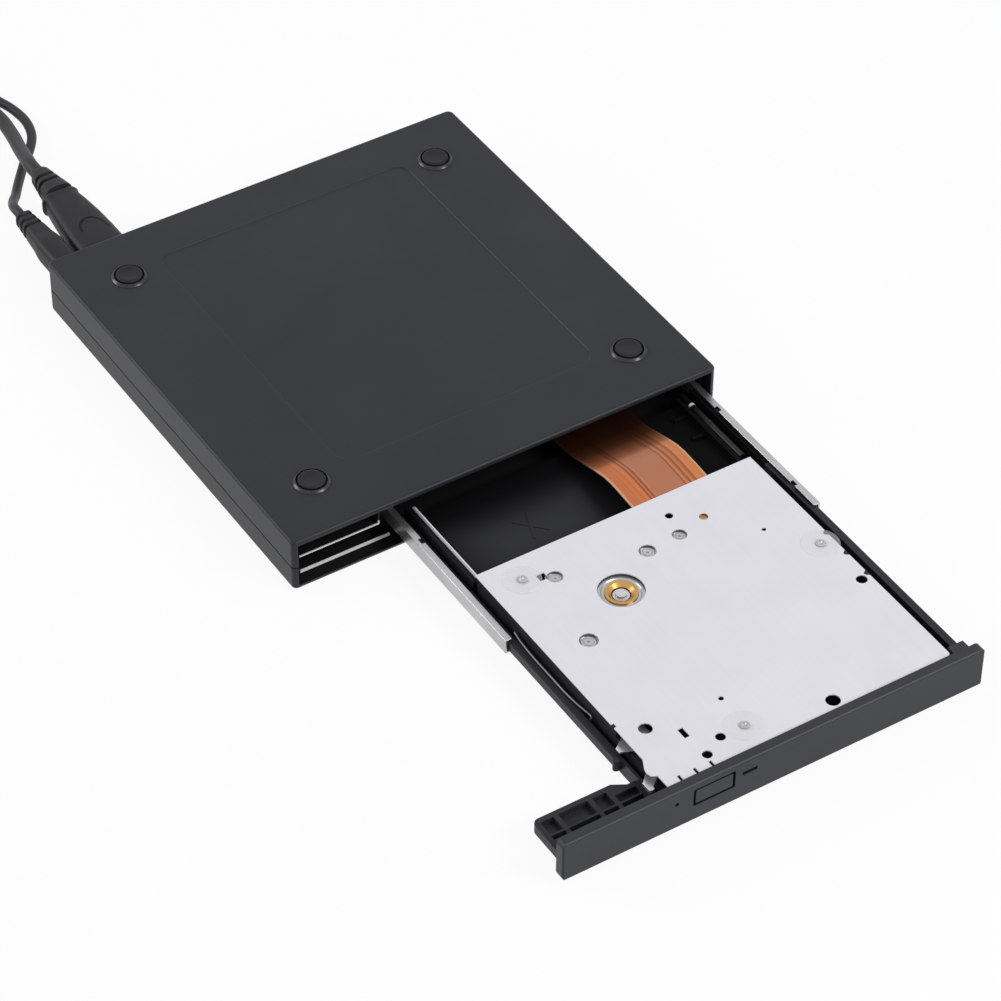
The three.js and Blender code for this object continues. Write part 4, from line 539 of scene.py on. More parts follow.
class Tree:
    """A small writer of material node trees."""

    def __init__(self, name: str) -> None:
        """Starts a material.

        Args:
            name: Name of the material.
        """
        self.material = bpy.data.materials.new(name)
        self.material.use_nodes = True
        self.tree = self.material.node_tree
        self.shader = self.tree.nodes["Principled BSDF"]
        self.coordinates = self.tree.nodes.new("ShaderNodeTexCoord").outputs["Object"]

    def add(self, kind: str, settings: dict | None = None, **inputs: object) -> bpy.types.Node:
        """Adds a node.

        Args:
            kind: Its Blender type.
            settings: Its own properties.
            **inputs: Values or sockets of its inputs, with _ for a space in a name.

        Returns:
            The node.
        """
        node = self.tree.nodes.new(kind)
        for key, value in (settings or {}).items():
            setattr(node, key, value)
        for key, value in inputs.items():
            self.feed(node.inputs[key.replace("_", " ")], value)
        return node

    def feed(self, socket: Socket, value: object) -> None:
        """Links another socket to an input, or sets the input's value.

        Args:
            socket: The input.
            value: A value or a socket.
        """
        if isinstance(value, Socket):
            self.tree.links.new(value, socket)
        else:
            socket.default_value = value

    def set(self, **inputs: object) -> None:
        """Sets or links inputs of the main shader.

        Args:
            **inputs: Values or sockets, with _ for a space in a name.
        """
        for key, value in inputs.items():
            self.feed(self.shader.inputs[key.replace("_", " ")], value)

    def noise(self, scale: float, detail: float = 3, vector: Socket | None = None) -> Socket:
        """Gives a noise value.

        Args:
            scale: Waves per metre.
            detail: Number of finer layers.
            vector: Where it is read, the object's own coordinates if left out.

        Returns:
            The noise from 0 to 1.
        """
        source = vector or self.coordinates
        node = self.add("ShaderNodeTexNoise", Vector=source, Scale=scale, Detail=detail)
        return node.outputs["Fac"]

    def ramp(self, value: Socket, stops: Sequence[tuple[float, tuple]]) -> Socket:
        """Gives the colour of a value.

        Args:
            value: From 0 to 1.
            stops: Positions and colours.

        Returns:
            The colour.
        """
        node = self.add("ShaderNodeValToRGB", Fac=value)
        elements = node.color_ramp.elements
        while len(elements) < len(stops):
            elements.new(1.0)
        for element, (position, colour) in zip(elements, stops):
            element.position = position
            element.color = colour
        return node.outputs["Color"]

    def stretch(self, scale: Point3) -> Socket:
        """Gives the object's coordinates, scaled along each axis.

        Args:
            scale: The three scales.

        Returns:
            The coordinates.
        """
        node = self.add("ShaderNodeMapping", Vector=self.coordinates, Scale=scale)
        return node.outputs["Vector"]

    def range(self, value: Socket, low: float, high: float) -> Socket:
        """Spreads a value between two limits.

        Args:
            value: From 0 to 1.
            low: What 0 becomes.
            high: What 1 becomes.

        Returns:
            The result.
        """
        node = self.add("ShaderNodeMapRange", Value=value, To_Min=low, To_Max=high)
        return node.outputs["Result"]

    def math(self, operation: str, first: object, second: object) -> Socket:
        """Works out a sum.

        Args:
            operation: Blender's name of the sum.
            first: A value or a socket.
            second: A value or a socket.

        Returns:
            The result.
        """
        node = self.tree.nodes.new("ShaderNodeMath")
        node.operation = operation
        for socket, value in zip(node.inputs, (first, second)):
            self.feed(socket, value)
        return node.outputs["Value"]

    def blend(self, share: Socket, first: object, second: object) -> Socket:
        """Gives a mix of two colours.

        Args:
            share: 0 for the first, 1 for the second.
            first: A colour or a socket.
            second: A colour or a socket.

        Returns:
            The mixed colour.
        """
        node = self.add("ShaderNodeMix", {"data_type": "RGBA"})
        self.tree.links.new(share, node.inputs["Factor"])
        colours = [socket for socket in node.inputs if socket.type == "RGBA"]
        for socket, value in zip(colours, (first, second)):
            self.feed(socket, value)
        return next(socket for socket in node.outputs if socket.type == "RGBA")

    def within(self, low: Point3, high: Point3) -> Socket:
        """Marks a room.

        Args:
            low: Its lowest corner, in millimetres.
            high: Its highest corner.

        Returns:
            1 inside it and 0 outside.
        """
        middle = (Vector(low) + Vector(high)) / 2 * MM
        half = (Vector(high) - Vector(low)) / 2 * MM
        vector = self.coordinates
        for operation, other in (("SUBTRACT", middle), ("DIVIDE", half), ("ABSOLUTE", None)):
            node = self.add("ShaderNodeVectorMath", {"operation": operation})
            self.tree.links.new(vector, node.inputs[0])
            if other is not None:
                node.inputs[1].default_value = other
            vector = node.outputs["Vector"]
        split = self.add("ShaderNodeSeparateXYZ", Vector=vector)
        furthest = self.math("MAXIMUM", split.outputs["X"], split.outputs["Y"])
        return self.math("LESS_THAN", self.math("MAXIMUM", furthest, split.outputs["Z"]), 1.0)

    def slope(self, axis: str, start: float, end: float) -> Socket:
        """Gives a smooth rise between two places on an axis.

        Args:
            axis: X, Y or Z.
            start: Where it leaves 0, in millimetres.
            end: Where it reaches 1.

        Returns:
            The rise.
        """
        split = self.add("ShaderNodeSeparateXYZ", Vector=self.coordinates)
        node = self.add(
            "ShaderNodeMapRange",
            {"interpolation_type": "SMOOTHSTEP"},
            Value=split.outputs[axis],
            From_Min=start * MM,
            From_Max=end * MM,
        )
        return node.outputs["Result"]

    def bump(self, height: Socket, depth: float) -> None:
        """Links a height to the shader's normal.

        Args:
            height: From 0 to 1.
            depth: What 1 stands for, in millimetres.
        """
        node = self.add("ShaderNodeBump", Height=height, Strength=1.0, Distance=depth * MM)
        self.set(Normal=node.outputs["Normal"])


@dataclass(frozen=True)
class Finish:
    """A finish: a name, the record's material slot and how the surface is made."""

    name: str
    slot: str

    def write(self, tree: Tree) -> None:
        """Writes the finish's nodes.

        Args:
            tree: The material's tree.
        """
        raise NotImplementedError

    def material(self) -> bpy.types.Material:
        """Makes the finish's material on first use.

        Returns:
            The material.
        """
        found = bpy.data.materials.get(self.name)
        if found:
            return found
        tree = Tree(self.name)
        self.write(tree)
        return tree.material


@dataclass(frozen=True)
class MouldedPlastic(Finish):
    """Moulded plastic with a spark-eroded grain."""

    colour: tuple = (60, 61, 65)
    lighter: tuple = (66, 67, 71)
    roughness: float = 0.55
    grain: float = 0.02
    grain_scale: float = 4200
    patch_scale: float = 30
    specular: float = 0.3
    speckle_share: float = 0.35
    spread: float = 0.06
    stops: Point2 = (0.45, 0.9)  # of the noise, where the two colours lie

    def write(self, tree: Tree) -> None:
        """Writes slow colour patches and a fine grain.

        Args:
            tree: The material's tree.
        """
        patches = tree.noise(self.patch_scale, 4)
        speckle = tree.noise(self.grain_scale, 2)
        mixed = tree.math("ADD", tree.math("MULTIPLY", speckle, self.speckle_share), patches)
        start, end = self.stops
        colour = tree.ramp(mixed, [(start, linear(*self.colour)), (end, linear(*self.lighter))])
        rough = tree.range(speckle, self.roughness - self.spread, self.roughness + self.spread)
        tree.set(**self.shade_and_dull(tree, colour, rough), Specular_IOR_Level=self.specular)
        tree.bump(speckle, self.grain)

    def shade_and_dull(self, tree: Tree, colour: Socket, rough: Socket) -> dict:
        """Gives the shader's inputs, for a subclass to paint shade and raise the roughness.

        Args:
            tree: The material's tree.
            colour: The colour.
            rough: The roughness.

        Returns:
            The inputs by name.
        """
        return {"Base_Color": colour, "Roughness": rough}


@dataclass(frozen=True)
class ShadedPlastic(MouldedPlastic):
    """Moulded plastic with painted shade: black and matt inside a room of the piece."""

    low: Point3 = (0, 0, 0)
    high: Point3 = (1, 1, 1)
    # painted shade: the colour inside the room
    black: tuple = (9, 9, 11)
    matt: float = 0.9  # roughness inside the room

    def shade_and_dull(self, tree: Tree, colour: Socket, rough: Socket) -> dict:
        """Gives the shader's inputs, painted black as shade and matt between the two corners.

        Args:
            tree: The material's tree.
            colour: The colour.
            rough: The roughness.

        Returns:
            The inputs by name.
        """
        mask = tree.within(self.low, self.high)
        return {
            "Base_Color": tree.blend(mask, colour, linear(*self.black)),
            "Roughness": tree.math("MAXIMUM", rough, tree.math("MULTIPLY", mask, self.matt)),
        }


@dataclass(frozen=True)
class TrayPlastic(MouldedPlastic):
    """Tray plastic with painted shade on the floor: black toward the housing and the right side, and in
    part toward the left.
    """

    low: Point3 = (-36, -101.2, 4.5)
    high: Point3 = (62, -60, 13.3)
    # painted shade on the floor
    black: tuple = (2, 2, 4)
    floor_tone: tuple = (44, 45, 49)
    matt: float = 0.85  # roughness where the floor is painted in shade
    side: Point2 = (2, 34)  # x where the painted shade starts on the right, and is full
    rear: Point2 = (-86, -70)  # the same for y toward the housing
    left: Point2 = (-12, -30)  # the same for x on the left
    # strength of the painted shade on the left
    left_share: float = 0.7

    def shade_and_dull(self, tree: Tree, colour: Socket, rough: Socket) -> dict:
        """Gives the shader's inputs, with painted shade where the floor runs under the cable and the
        housing.

        Args:
            tree: The material's tree.
            colour: The colour.
            rough: The roughness.

        Returns:
            The inputs by name.
        """
        # Painted shade: rises toward the right side, the housing and the left
        side = tree.slope("X", *self.side)
        rear = tree.slope("Y", *self.rear)
        left = tree.math("MULTIPLY", tree.slope("X", *self.left), self.left_share)
        mask = tree.math("MAXIMUM", tree.math("MAXIMUM", side, rear), left)
        inside = tree.within(self.low, self.high)
        mask = tree.math("MULTIPLY", mask, inside)
        colour = tree.blend(inside, colour, linear(*self.floor_tone))
        return {
            "Base_Color": tree.blend(mask, colour, linear(*self.black)),
            "Roughness": tree.math("MAXIMUM", rough, tree.math("MULTIPLY", mask, self.matt)),
        }


@dataclass(frozen=True)
class SheetMetal(Finish):
    """Rolled sheet or drawn metal, its fine lines along one axis."""

    colour: tuple = (214, 213, 218)
    darker: tuple = (200, 199, 205)
    metallic: float = 0.6
    roughness: float = 0.4
    along: Point3 = (1500, 40, 1500)
    depth: float = 0.004
    patch_scale: float = 60
    line_share: float = 0.4
    specular: float = 0.4
    stops: Point2 = (0.4, 1.0)  # of the noise, where the two colours lie
    gloss: Point2 = (0.08, -0.04)  # added to the roughness on dark and on bright lines

    def write(self, tree: Tree) -> None:
        """Writes rolling lines and slow patches.

        Args:
            tree: The material's tree.
        """
        lines = tree.noise(1, 3, tree.stretch(self.along))
        patches = tree.noise(self.patch_scale, 3)
        mixed = tree.math("ADD", tree.math("MULTIPLY", lines, self.line_share), patches)
        start, end = self.stops
        colour = tree.ramp(mixed, [(start, linear(*self.darker)), (end, linear(*self.colour))])
        tree.set(
            Base_Color=self.edge_and_highlight(tree, colour),
            Metallic=self.metallic,
            Roughness=tree.range(mixed, *(self.roughness + added for added in self.gloss)),
            Specular_IOR_Level=self.specular,
        )
        tree.bump(lines, self.depth)

    def edge_and_highlight(self, tree: Tree, colour: Socket) -> Socket:
        """Gives the colour, for a subclass to paint a brighter strip on it.

        Args:
            tree: The material's tree.
            colour: The colour.

        Returns:
            The colour.
        """
        return colour


@dataclass(frozen=True)
class BlackedSheet(SheetMetal):
    """Blacked steel painted near white in one strip: a painted highlight on the pan's cut front edge, and a
    painted glint on the shaft.
    """

    # The pan's cut front edge at the mouth, with a painted highlight
    low: Point3 = (-63.1, -66, 2)
    high: Point3 = (-35.4, -64.9, 9)
    # painted highlight, near white
    bare_and_highlight: tuple = (246, 246, 248)

    def edge_and_highlight(self, tree: Tree, colour: Socket) -> Socket:
        """Gives the colour, painted near white between the two corners as a highlight.

        Args:
            tree: The material's tree.
            colour: The colour.

        Returns:
            The colour.
        """
        return tree.blend(tree.within(self.low, self.high), colour, linear(*self.bare_and_highlight))


@dataclass(frozen=True)
class ClearPlastic(Finish):
    """Thin clear plastic with faint flow marks."""

    colour: tuple = (240, 241, 245)
    roughness: float = 0.1
    cover: float = 0.14
    flow_scale: float = 260
    flow_depth: float = 0.02
    lighten: int = 10  # by which the flow marks are lighter
    stops: Point2 = (0.3, 0.8)
    spread: float = 0.1
    ior: float = 1.49

    def write(self, tree: Tree) -> None:
        """Writes flow marks into the colour and the gloss.

        Args:
            tree: The material's tree.
        """
        flow = tree.noise(self.flow_scale, 2)
        lighter = tuple(min(255, channel + self.lighten) for channel in self.colour)
        start, end = self.stops
        tree.set(
            Base_Color=tree.ramp(flow, [(start, linear(*self.colour)), (end, linear(*lighter))]),
            Roughness=tree.range(flow, self.roughness, self.roughness + self.spread),
            IOR=self.ior,
            Alpha=self.cover,
        )
        tree.bump(flow, self.flow_depth)


@dataclass(frozen=True)
class CircuitBoard(Finish):
    """Green lacquer over copper tracks."""

    colour: tuple = (24, 70, 40)
    track: tuple = (40, 98, 56)
    cell_scale: float = 420
    stops: Point2 = (0.04, 0.09)  # of the distance to a cell's edge, where the two colours lie
    gloss: Point2 = (0.28, 0.4)
    depth: float = 0.02

    def write(self, tree: Tree) -> None:
        """Writes tracks as bands of a cell pattern.

        Args:
            tree: The material's tree.
        """
        node = tree.add(
            "ShaderNodeTexVoronoi",
            {"feature": "DISTANCE_TO_EDGE"},
            Vector=tree.coordinates,
            Scale=self.cell_scale,
        )
        cells = node.outputs["Distance"]
        start, end = self.stops
        tree.set(
            Base_Color=tree.ramp(cells, [(start, linear(*self.track)), (end, linear(*self.colour))]),
            Roughness=tree.range(cells, *self.gloss),
        )
        tree.bump(cells, self.depth)


@dataclass(frozen=True)
class FlexFilm(Finish):
    """Amber film over copper tracks that run along the cable."""

    tracks: float = 46  # streaks across the cable
    lengths: float = 3  # streaks along it
    streak: tuple = (140, 58, 26)
    pale: tuple = (180, 112, 78)
    shadow: tuple = (22, 6, 3)
    block: tuple = (0.34, 0.71, 0.0, 0.158)  # shares across and along: the paler block
    # Shares across the cable and the colours there
    bands: tuple = (
        (0.0, (226, 176, 136)),
        (0.018, (222, 160, 112)),
        (0.04, (206, 112, 56)),
        (0.24, (216, 124, 62)),
        (0.262, (120, 52, 26)),
        (0.284, (214, 128, 74)),
        (0.306, (110, 46, 22)),
        (0.33, (208, 126, 80)),
        (0.7, (206, 120, 70)),
        (0.72, (128, 56, 26)),
        (0.745, (222, 142, 84)),
        (0.79, (134, 60, 28)),
        (0.81, (226, 140, 72)),
        (0.86, (150, 72, 34)),
        (0.88, (222, 138, 76)),
        (0.975, (216, 128, 66)),
        (0.99, (236, 192, 152)),
        (1.0, (238, 200, 166)),
    )
    # Shares along the cable and how much of its colour shows there
    depths: tuple = (
        (0.0, 1.0),
        (0.15, 0.92),
        (0.162, 0.46),
        (0.185, 0.24),
        (0.21, 0.09),
        (0.25, 0.02),
    )
    streak_range: Point2 = (-0.35, 0.75)  # share of the streaks' colour for the noise's 0 and 1
    gloss: Point2 = (0.3, 0.42)
    specular: float = 0.5
    relief: float = 0.02

    def write(self, tree: Tree) -> None:
        """Writes bands and streaks on the cable's own map, a paler block and the mouth's dark.

        Args:
            tree: The material's tree.
        """
        own = tree.add("ShaderNodeUVMap", {"uv_map": "flex"}).outputs["UV"]
        split = tree.add("ShaderNodeSeparateXYZ", Vector=own)
        across, along = split.outputs["X"], split.outputs["Y"]
        scale = (self.tracks, self.lengths, 1)
        drawn = tree.add("ShaderNodeMapping", Vector=own, Scale=scale).outputs["Vector"]
        streaks = tree.noise(1, 2, drawn)
        base = tree.ramp(across, [(place, linear(*colour)) for place, colour in self.bands])
        base = tree.blend(tree.range(streaks, *self.streak_range), base, linear(*self.streak))
        base = tree.blend(self._inside(tree, across, along), base, linear(*self.pale))
        depth = tree.ramp(along, [(place, (share, share, share, 1)) for place, share in self.depths])
        colour = tree.blend(depth, linear(*self.shadow), base)
        rough = tree.range(streaks, *self.gloss)
        tree.set(Base_Color=colour, Roughness=rough, Specular_IOR_Level=self.specular)
        tree.bump(streaks, self.relief)

    def _inside(
        self, tree: Tree, across: Socket, along: Socket
    ) -> Socket:
        """Marks the paler block.

        Args:
            tree: The material's tree.
            across: Share of the cable's width.
            along: Share of its length.

        Returns:
            1 inside the block and 0 outside.
        """
        left, right, near, far = self.block
        mask = tree.math("GREATER_THAN", across, left)
        for operation, share, limit in (
            ("LESS_THAN", across, right),
            ("GREATER_THAN", along, near),
            ("LESS_THAN", along, far),
        ):
            mask = tree.math("MULTIPLY", mask, tree.math(operation, share, limit))
        return mask


# Painted shade: black and matt on the case's inner faces, behind its mouth
SHELL = ShadedPlastic(
    "case_plastic",
    "shell",
    (38, 40, 45),
    (45, 47, 53),
    0.4,
    0.012,
    specular=0.2,
    low=(-65.42, -80, 1.58),
    high=(65.42, 67.12, 15.52),
)
# Painted shade: black and matt on the walls of the button's opening
BEZEL = ShadedPlastic(
    "bezel_plastic",
    "bezel",
    (44, 46, 51),
    (50, 52, 57),
    0.42,
    0.006,
    specular=0.25,
    low=(-25.66, -193.0, 6.9),
    high=(-13.14, -187, 12.66),
)
# Its floor gets painted shade toward the housing and the sides
TRAY = TrayPlastic("tray_plastic", "tray", (46, 47, 51), (54, 55, 59), 0.38, 0.006, 2600, 18, specular=0.12)
SOCKET = MouldedPlastic("socket_plastic", "tray", (22, 22, 24), (28, 28, 30), 0.45, 0.006)
RUBBER = MouldedPlastic("foot_rubber", "rubber", (20, 21, 24), (27, 28, 31), 0.62, 0.03, 2600)
COLLAR = MouldedPlastic("collar_rubber", "rubber", (20, 21, 23), (28, 29, 31), 0.27, 0.004, specular=0.5)
TIE = MouldedPlastic("tie_rubber", "rubber", (24, 24, 26), (30, 30, 32), 0.7, 0.03, 2600)
CORD = MouldedPlastic("cord_jacket", "cord", (38, 39, 42), (48, 49, 52), 0.5, 0.02, 2200)
OVERMOULD = MouldedPlastic("overmould", "cord", (15, 16, 19), (24, 25, 29), 0.5, 0.03, 2200)
PLATE = SheetMetal("rolled_plate", "plate_steel", (232, 231, 238), (225, 224, 231), 0.15, 0.45, depth=0.002)
# Its near white strip is a painted highlight on the pan's cut front edge
PAN = BlackedSheet("blacked_pan", "plate_steel", (24, 24, 26), (17, 17, 19), 0.1, 0.5)
# Painted glint: a near white band round the shaft near the mouth
SHAFT = BlackedSheet(
    "blacked_shaft",
    "dark_steel",
    (18, 18, 20),
    (12, 12, 14),
    0.1,
    0.4,
    low=(50, -70.4, 4),
    high=(65, -69.5, 10),
)
RAIL = SheetMetal("rail_steel", "steel", (196, 196, 198), (168, 168, 171), 0.9, 0.3)
STEEL = SheetMetal("bright_steel", "steel", (214, 214, 217), (190, 190, 194), 0.85, 0.28)
DARK_STEEL = SheetMetal("dull_steel", "dark_steel", (128, 128, 130), (104, 104, 107), 0.85, 0.45)
BRASS = SheetMetal("turned_brass", "brass", (206, 166, 104), (176, 132, 72), 0.9, 0.3)
CLEAR = ClearPlastic("clear_plastic", "clear")
UNLIT = MouldedPlastic("unlit_window", "clear", (3, 3, 4), (5, 5, 6), 0.8, 0.004, specular=0.1)
LENS = ClearPlastic("coated_lens", "glass", (120, 150, 200), 0.05, 0.8)
BOARD = CircuitBoard("circuit_board", "board")
FLEX = FlexFilm("flex_film", "flex")


# Putting pieces in place


def paint(piece: Object, finish: Finish) -> None:
    """Gives a piece its finish.

    Args:
        piece: The piece.
        finish: Its finish.
    """
    piece.data.materials.clear()
    piece.data.materials.append(finish.material())


def place(
    piece: Object,
    finish: Finish,
    body: Body,
    stands_for: Sequence[str] = (),
    angle: float = PLAIN_SHADE,
) -> Object:
    """Shades a finished piece, gives it its finish and sets it on its body.

    Args:
        piece: The piece, in place.
        finish: Its finish.
        body: The body it rides on.
        stands_for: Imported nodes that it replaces.
        angle: Largest angle between faces that is shaded smooth.

    Returns:
        The piece.
    """
    smooth(piece, angle)
    paint(piece, finish)
    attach(piece, body.value)
    if stands_for:
        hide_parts(*stands_for)
    return piece


def finish_node(node: str, finish: Finish) -> None:
    """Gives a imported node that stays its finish.

    Args:
        node: Name of the node.
        finish: The finish.
    """
    paint(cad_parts[node], finish)


# Cords, made first


def smooth_line(points: Sequence[Vector], per_span: int = 8) -> list[Vector]:
    """Gives a smooth line through points, as a centripetal Catmull-Rom curve.

    Args:
        points: The points.
        per_span: Steps between two of them.

    Returns:
        The line's points.
    """
    ends = [points[0] * 2 - points[1], *points, points[-1] * 2 - points[-2]]
    line = [points[0].copy()]
    for p0, p1, p2, p3 in zip(ends, ends[1:], ends[2:], ends[3:]):
        t0, t1, t2 = (math.sqrt((b - a).length) for a, b in ((p0, p1), (p1, p2), (p2, p3)))
        tangent1 = ((p1 - p0) / t0 - (p2 - p0) / (t0 + t1) + (p2 - p1) / t1) * t1
        tangent2 = ((p2 - p1) / t1 - (p3 - p1) / (t1 + t2) + (p3 - p2) / t2) * t1
        for i in range(1, per_span + 1):
            s = i / per_span
            line.append(
                p1 * (2 * s**3 - 3 * s**2 + 1)
                + tangent1 * (s**3 - 2 * s**2 + s)
                + p2 * (3 * s**2 - 2 * s**3)
                + tangent2 * (s**3 - s**2)
            )
    return line


class PathSweep:
    """A geometry nodes tree that sweeps a round section along a curve."""

    def __init__(self) -> None:
        """Builds the tree with inputs for the radius, the sides and the material."""
        self.tree = bpy.data.node_groups.new("path_sweep", "GeometryNodeTree")
        face = self.tree.interface
        face.new_socket("Geometry", in_out="INPUT", socket_type="NodeSocketGeometry")
        self.radius = face.new_socket("Radius", in_out="INPUT", socket_type="NodeSocketFloat").identifier
        self.sides = face.new_socket("Sides", in_out="INPUT", socket_type="NodeSocketInt").identifier
        material = face.new_socket("Material", in_out="INPUT", socket_type="NodeSocketMaterial")
        self.material = material.identifier
        face.new_socket("Geometry", in_out="OUTPUT", socket_type="NodeSocketGeometry")
        nodes, links = self.tree.nodes, self.tree.links
        entry, leave = nodes.new("NodeGroupInput"), nodes.new("NodeGroupOutput")
        section = nodes.new("GeometryNodeCurvePrimitiveCircle")
        sweep = nodes.new("GeometryNodeCurveToMesh")
        real = nodes.new("GeometryNodeRealizeInstances")
        paint = nodes.new("GeometryNodeSetMaterial")
        sweep.inputs["Fill Caps"].default_value = True
        links.new(entry.outputs["Radius"], section.inputs["Radius"])
        links.new(entry.outputs["Sides"], section.inputs["Resolution"])
        links.new(entry.outputs["Geometry"], sweep.inputs["Curve"])
        links.new(section.outputs["Curve"], sweep.inputs["Profile Curve"])
        links.new(sweep.outputs["Mesh"], real.inputs["Geometry"])
        links.new(real.outputs["Geometry"], paint.inputs["Geometry"])
        links.new(entry.outputs["Material"], paint.inputs["Material"])
        links.new(paint.outputs["Geometry"], leave.inputs["Geometry"])

    def run(self, name: str, line: Sequence[Vector], diameter: float, sides: int, finish: Finish) -> Object:
        """Sweeps a round section along a line.

        Args:
            name: Name of the object.
            line: Points of the line, in millimetres.
            diameter: Diameter of the section.
            sides: Its sides.
            finish: The finish that the tree sets.

        Returns:
            A plain mesh object.
        """
        curve = bpy.data.curves.new(name + "_line", "CURVE")
        curve.dimensions = "3D"
        spline = curve.splines.new("POLY")
        spline.points.add(len(line) - 1)
        for point, target in zip(spline.points, line):
            point.co = (*(target * MM), 1)
        source = bpy.data.objects.new(name + "_line", curve)
        bpy.context.scene.collection.objects.link(source)
        modifier = source.modifiers.new("sweep", "NODES")
        modifier.node_group = self.tree
        modifier[self.radius] = diameter / 2 * MM
        modifier[self.sides] = sides
        modifier[self.material] = finish.material()
        evaluated = source.evaluated_get(bpy.context.evaluated_depsgraph_get())
        mesh = bpy.data.meshes.new_from_object(evaluated)
        discard(source)
        bm = bmesh.new()
        bm.from_mesh(mesh)
        bmesh.ops.remove_doubles(bm, verts=bm.verts, dist=WELD_SWEPT * MM)
        bmesh.ops.recalc_face_normals(bm, faces=bm.faces)
        bm.to_mesh(mesh)
        bm.free()
        made = bpy.data.objects.new(name, mesh)
        bpy.context.scene.collection.objects.link(made)
        return made


def loft(
    name: str, sections: Sequence[tuple[float, float, float, float]], place_at: Point2, sides: int = 48
) -> Object:
    """Lofts rounded sections along Y.

    Args:
        name: Name of the object.
        sections: Half width, half height, y and shift across of each.
        place_at: x and z of the axis.
        sides: Points of each section.

    Returns:
        The object.
    """
    rings = []
    for half_x, half_z, y, shift in sections:
        ring = []
        for i in range(sides):
            angle = math.tau * (i + 0.5) / sides
            c, s = math.cos(angle), math.sin(angle)
            ring.append(
                (
                    place_at[0] + shift + half_x * math.copysign(abs(c) ** SQUARENESS, c),
                    y,
                    place_at[1] + half_z * math.copysign(abs(s) ** SQUARENESS, s),
                )
            )
        rings.append(ring)
    return skin(name, rings)


@dataclass
class Cord:
    """A cord from its plug on the drive to its host plug, the unseen length wound in a coil."""

    name: str
    diameter: float
    turns: float
    route: list[Point3]
    plug: "Plug"
    across_share: float = 5.45  # mean radius of the coil in diameters
    turn_gap: float = 0.55
    tie: float = 0.6
    tie_gap: float = 0.2
    steps_per_turn: int = 24
    lead: float = 34
    host_height: float = 8.2
    lead_shares: tuple = (0, 0.12, 0.3, 0.5, 0.7, 0.88, 1)
    sides: int = 20

    def coil(self) -> tuple[list[Vector], Vector, Vector]:
        """Works out the coil: in on the lower layer, out on the upper one.

        Returns:
            Its points, its end and its heading there.
        """
        d, pitch = self.diameter, self.diameter + self.turn_gap
        outer = d * self.across_share + pitch * self.turns / 4
        x0, y0, _ = self.route[-1]
        base = self.tie + 2 * self.tie_gap + d / 2 + SEAT
        entry = y0 + d + GAP
        centre = Vector((x0 - outer, entry + d, base))
        count = round(self.turns * self.steps_per_turn)
        points = [Vector((x0, entry, base)), Vector((x0, entry + d / 2, base))]
        for i in range(count + 1):
            t = i * self.turns / count
            radius = outer - pitch * min(t, self.turns - t)
            share = min(1, max(0, (t - self.turns / 2) * 2 + 0.5))
            angle = math.tau * t
            rise = pitch * (1 - math.cos(math.pi * share)) / 2
            points.append(centre + Vector((radius * math.cos(angle), radius * math.sin(angle), rise)))
        angle = math.tau * self.turns
        heading = Vector((-math.sin(angle), math.cos(angle), 0))
        points += [points[-1] + heading * d / 2, points[-1] + heading * d]
        return points, points[-1], heading

    def line(self) -> tuple[list[Vector], Vector, Vector]:
        """Works out the whole centre line.

        Returns:
            Its points, where the host plug starts and its heading.
        """
        d = self.diameter
        start = Vector((self.plug.x, span(self.name + "_cord")[0].y, self.plug.z))
        coil, end, heading = self.coil()
        entry = coil[0]
        free = [start, start + Vector((0, d, 0))]
        free += [Vector(point) for point in self.route[:-1]]
        free += [entry - Vector((0, GAP + d, 0)), entry - Vector((0, GAP, 0))]
        host_z = self.host_height / 2 + SEAT
        lead = []
        for share in self.lead_shares:
            along = GAP + share * self.lead
            eased = (1 - math.cos(math.pi * share)) / 2
            point = end + heading * along
            lead.append(Vector((point.x, point.y, end.z + (host_z - end.z) * eased)))
        runs = zip((free, coil, lead), CORD_CHORDS)
        whole = [point for run, chords in runs for point in smooth_line(run, chords)]
        return whole, lead[-1], heading

    def build(self, sweep: PathSweep) -> None:
        """Args:
            sweep: The tree that sweeps the cord.
        """
        line, end, heading = self.line()
        piece = sweep.run(self.name + "_lead_set", line, self.diameter, self.sides, CORD)
        place(piece, CORD, Body.ENCLOSURE, [self.name + "_cord", self.name + "_coil", self.name + "_lead"])
        near = self.plug.build(self, sweep)
        host = HostPlug(self.name, self.diameter).build(end, heading)
        tie = copy_of(self.name + "_tie", self.name + "_strap", CASE_EDGE)
        place(tie, TIE, Body.ENCLOSURE, [self.name + "_tie"])


@dataclass
class Relief:
    """A strain relief: a tapering sleeve with grooves round it."""

    length: float
    wide: float
    narrow: float
    grooves: tuple  # share of the length where each starts
    depth: float = 0.8  # share of the radius that a groove leaves
    end_share: float = 0.97  # of the length, where the sections end
    width: float = 0.07  # share of the length
    slope: float = 0.025

    def sections(self, start: float) -> list[tuple[float, float, float, float]]:
        """Gives the sleeve's sections, as half width, half height, y and shift.

        Args:
            start: Where the sleeve starts along Y.

        Returns:
            The sections.
        """
        stops = [(self.slope, 1.0)]
        for place in self.grooves:
            stops += [
                (place, 1.0),
                (place + self.slope, self.depth),
                (place + self.slope + self.width, self.depth),
                (place + 2 * self.slope + self.width, 1.0),
            ]
        made = []
        for share, land in [*stops, (self.end_share, 1.0)]:
            radius = (self.wide + (self.narrow - self.wide) * share) / 2 * land
            made.append((radius, radius, start + share * self.length, 0))
        return made


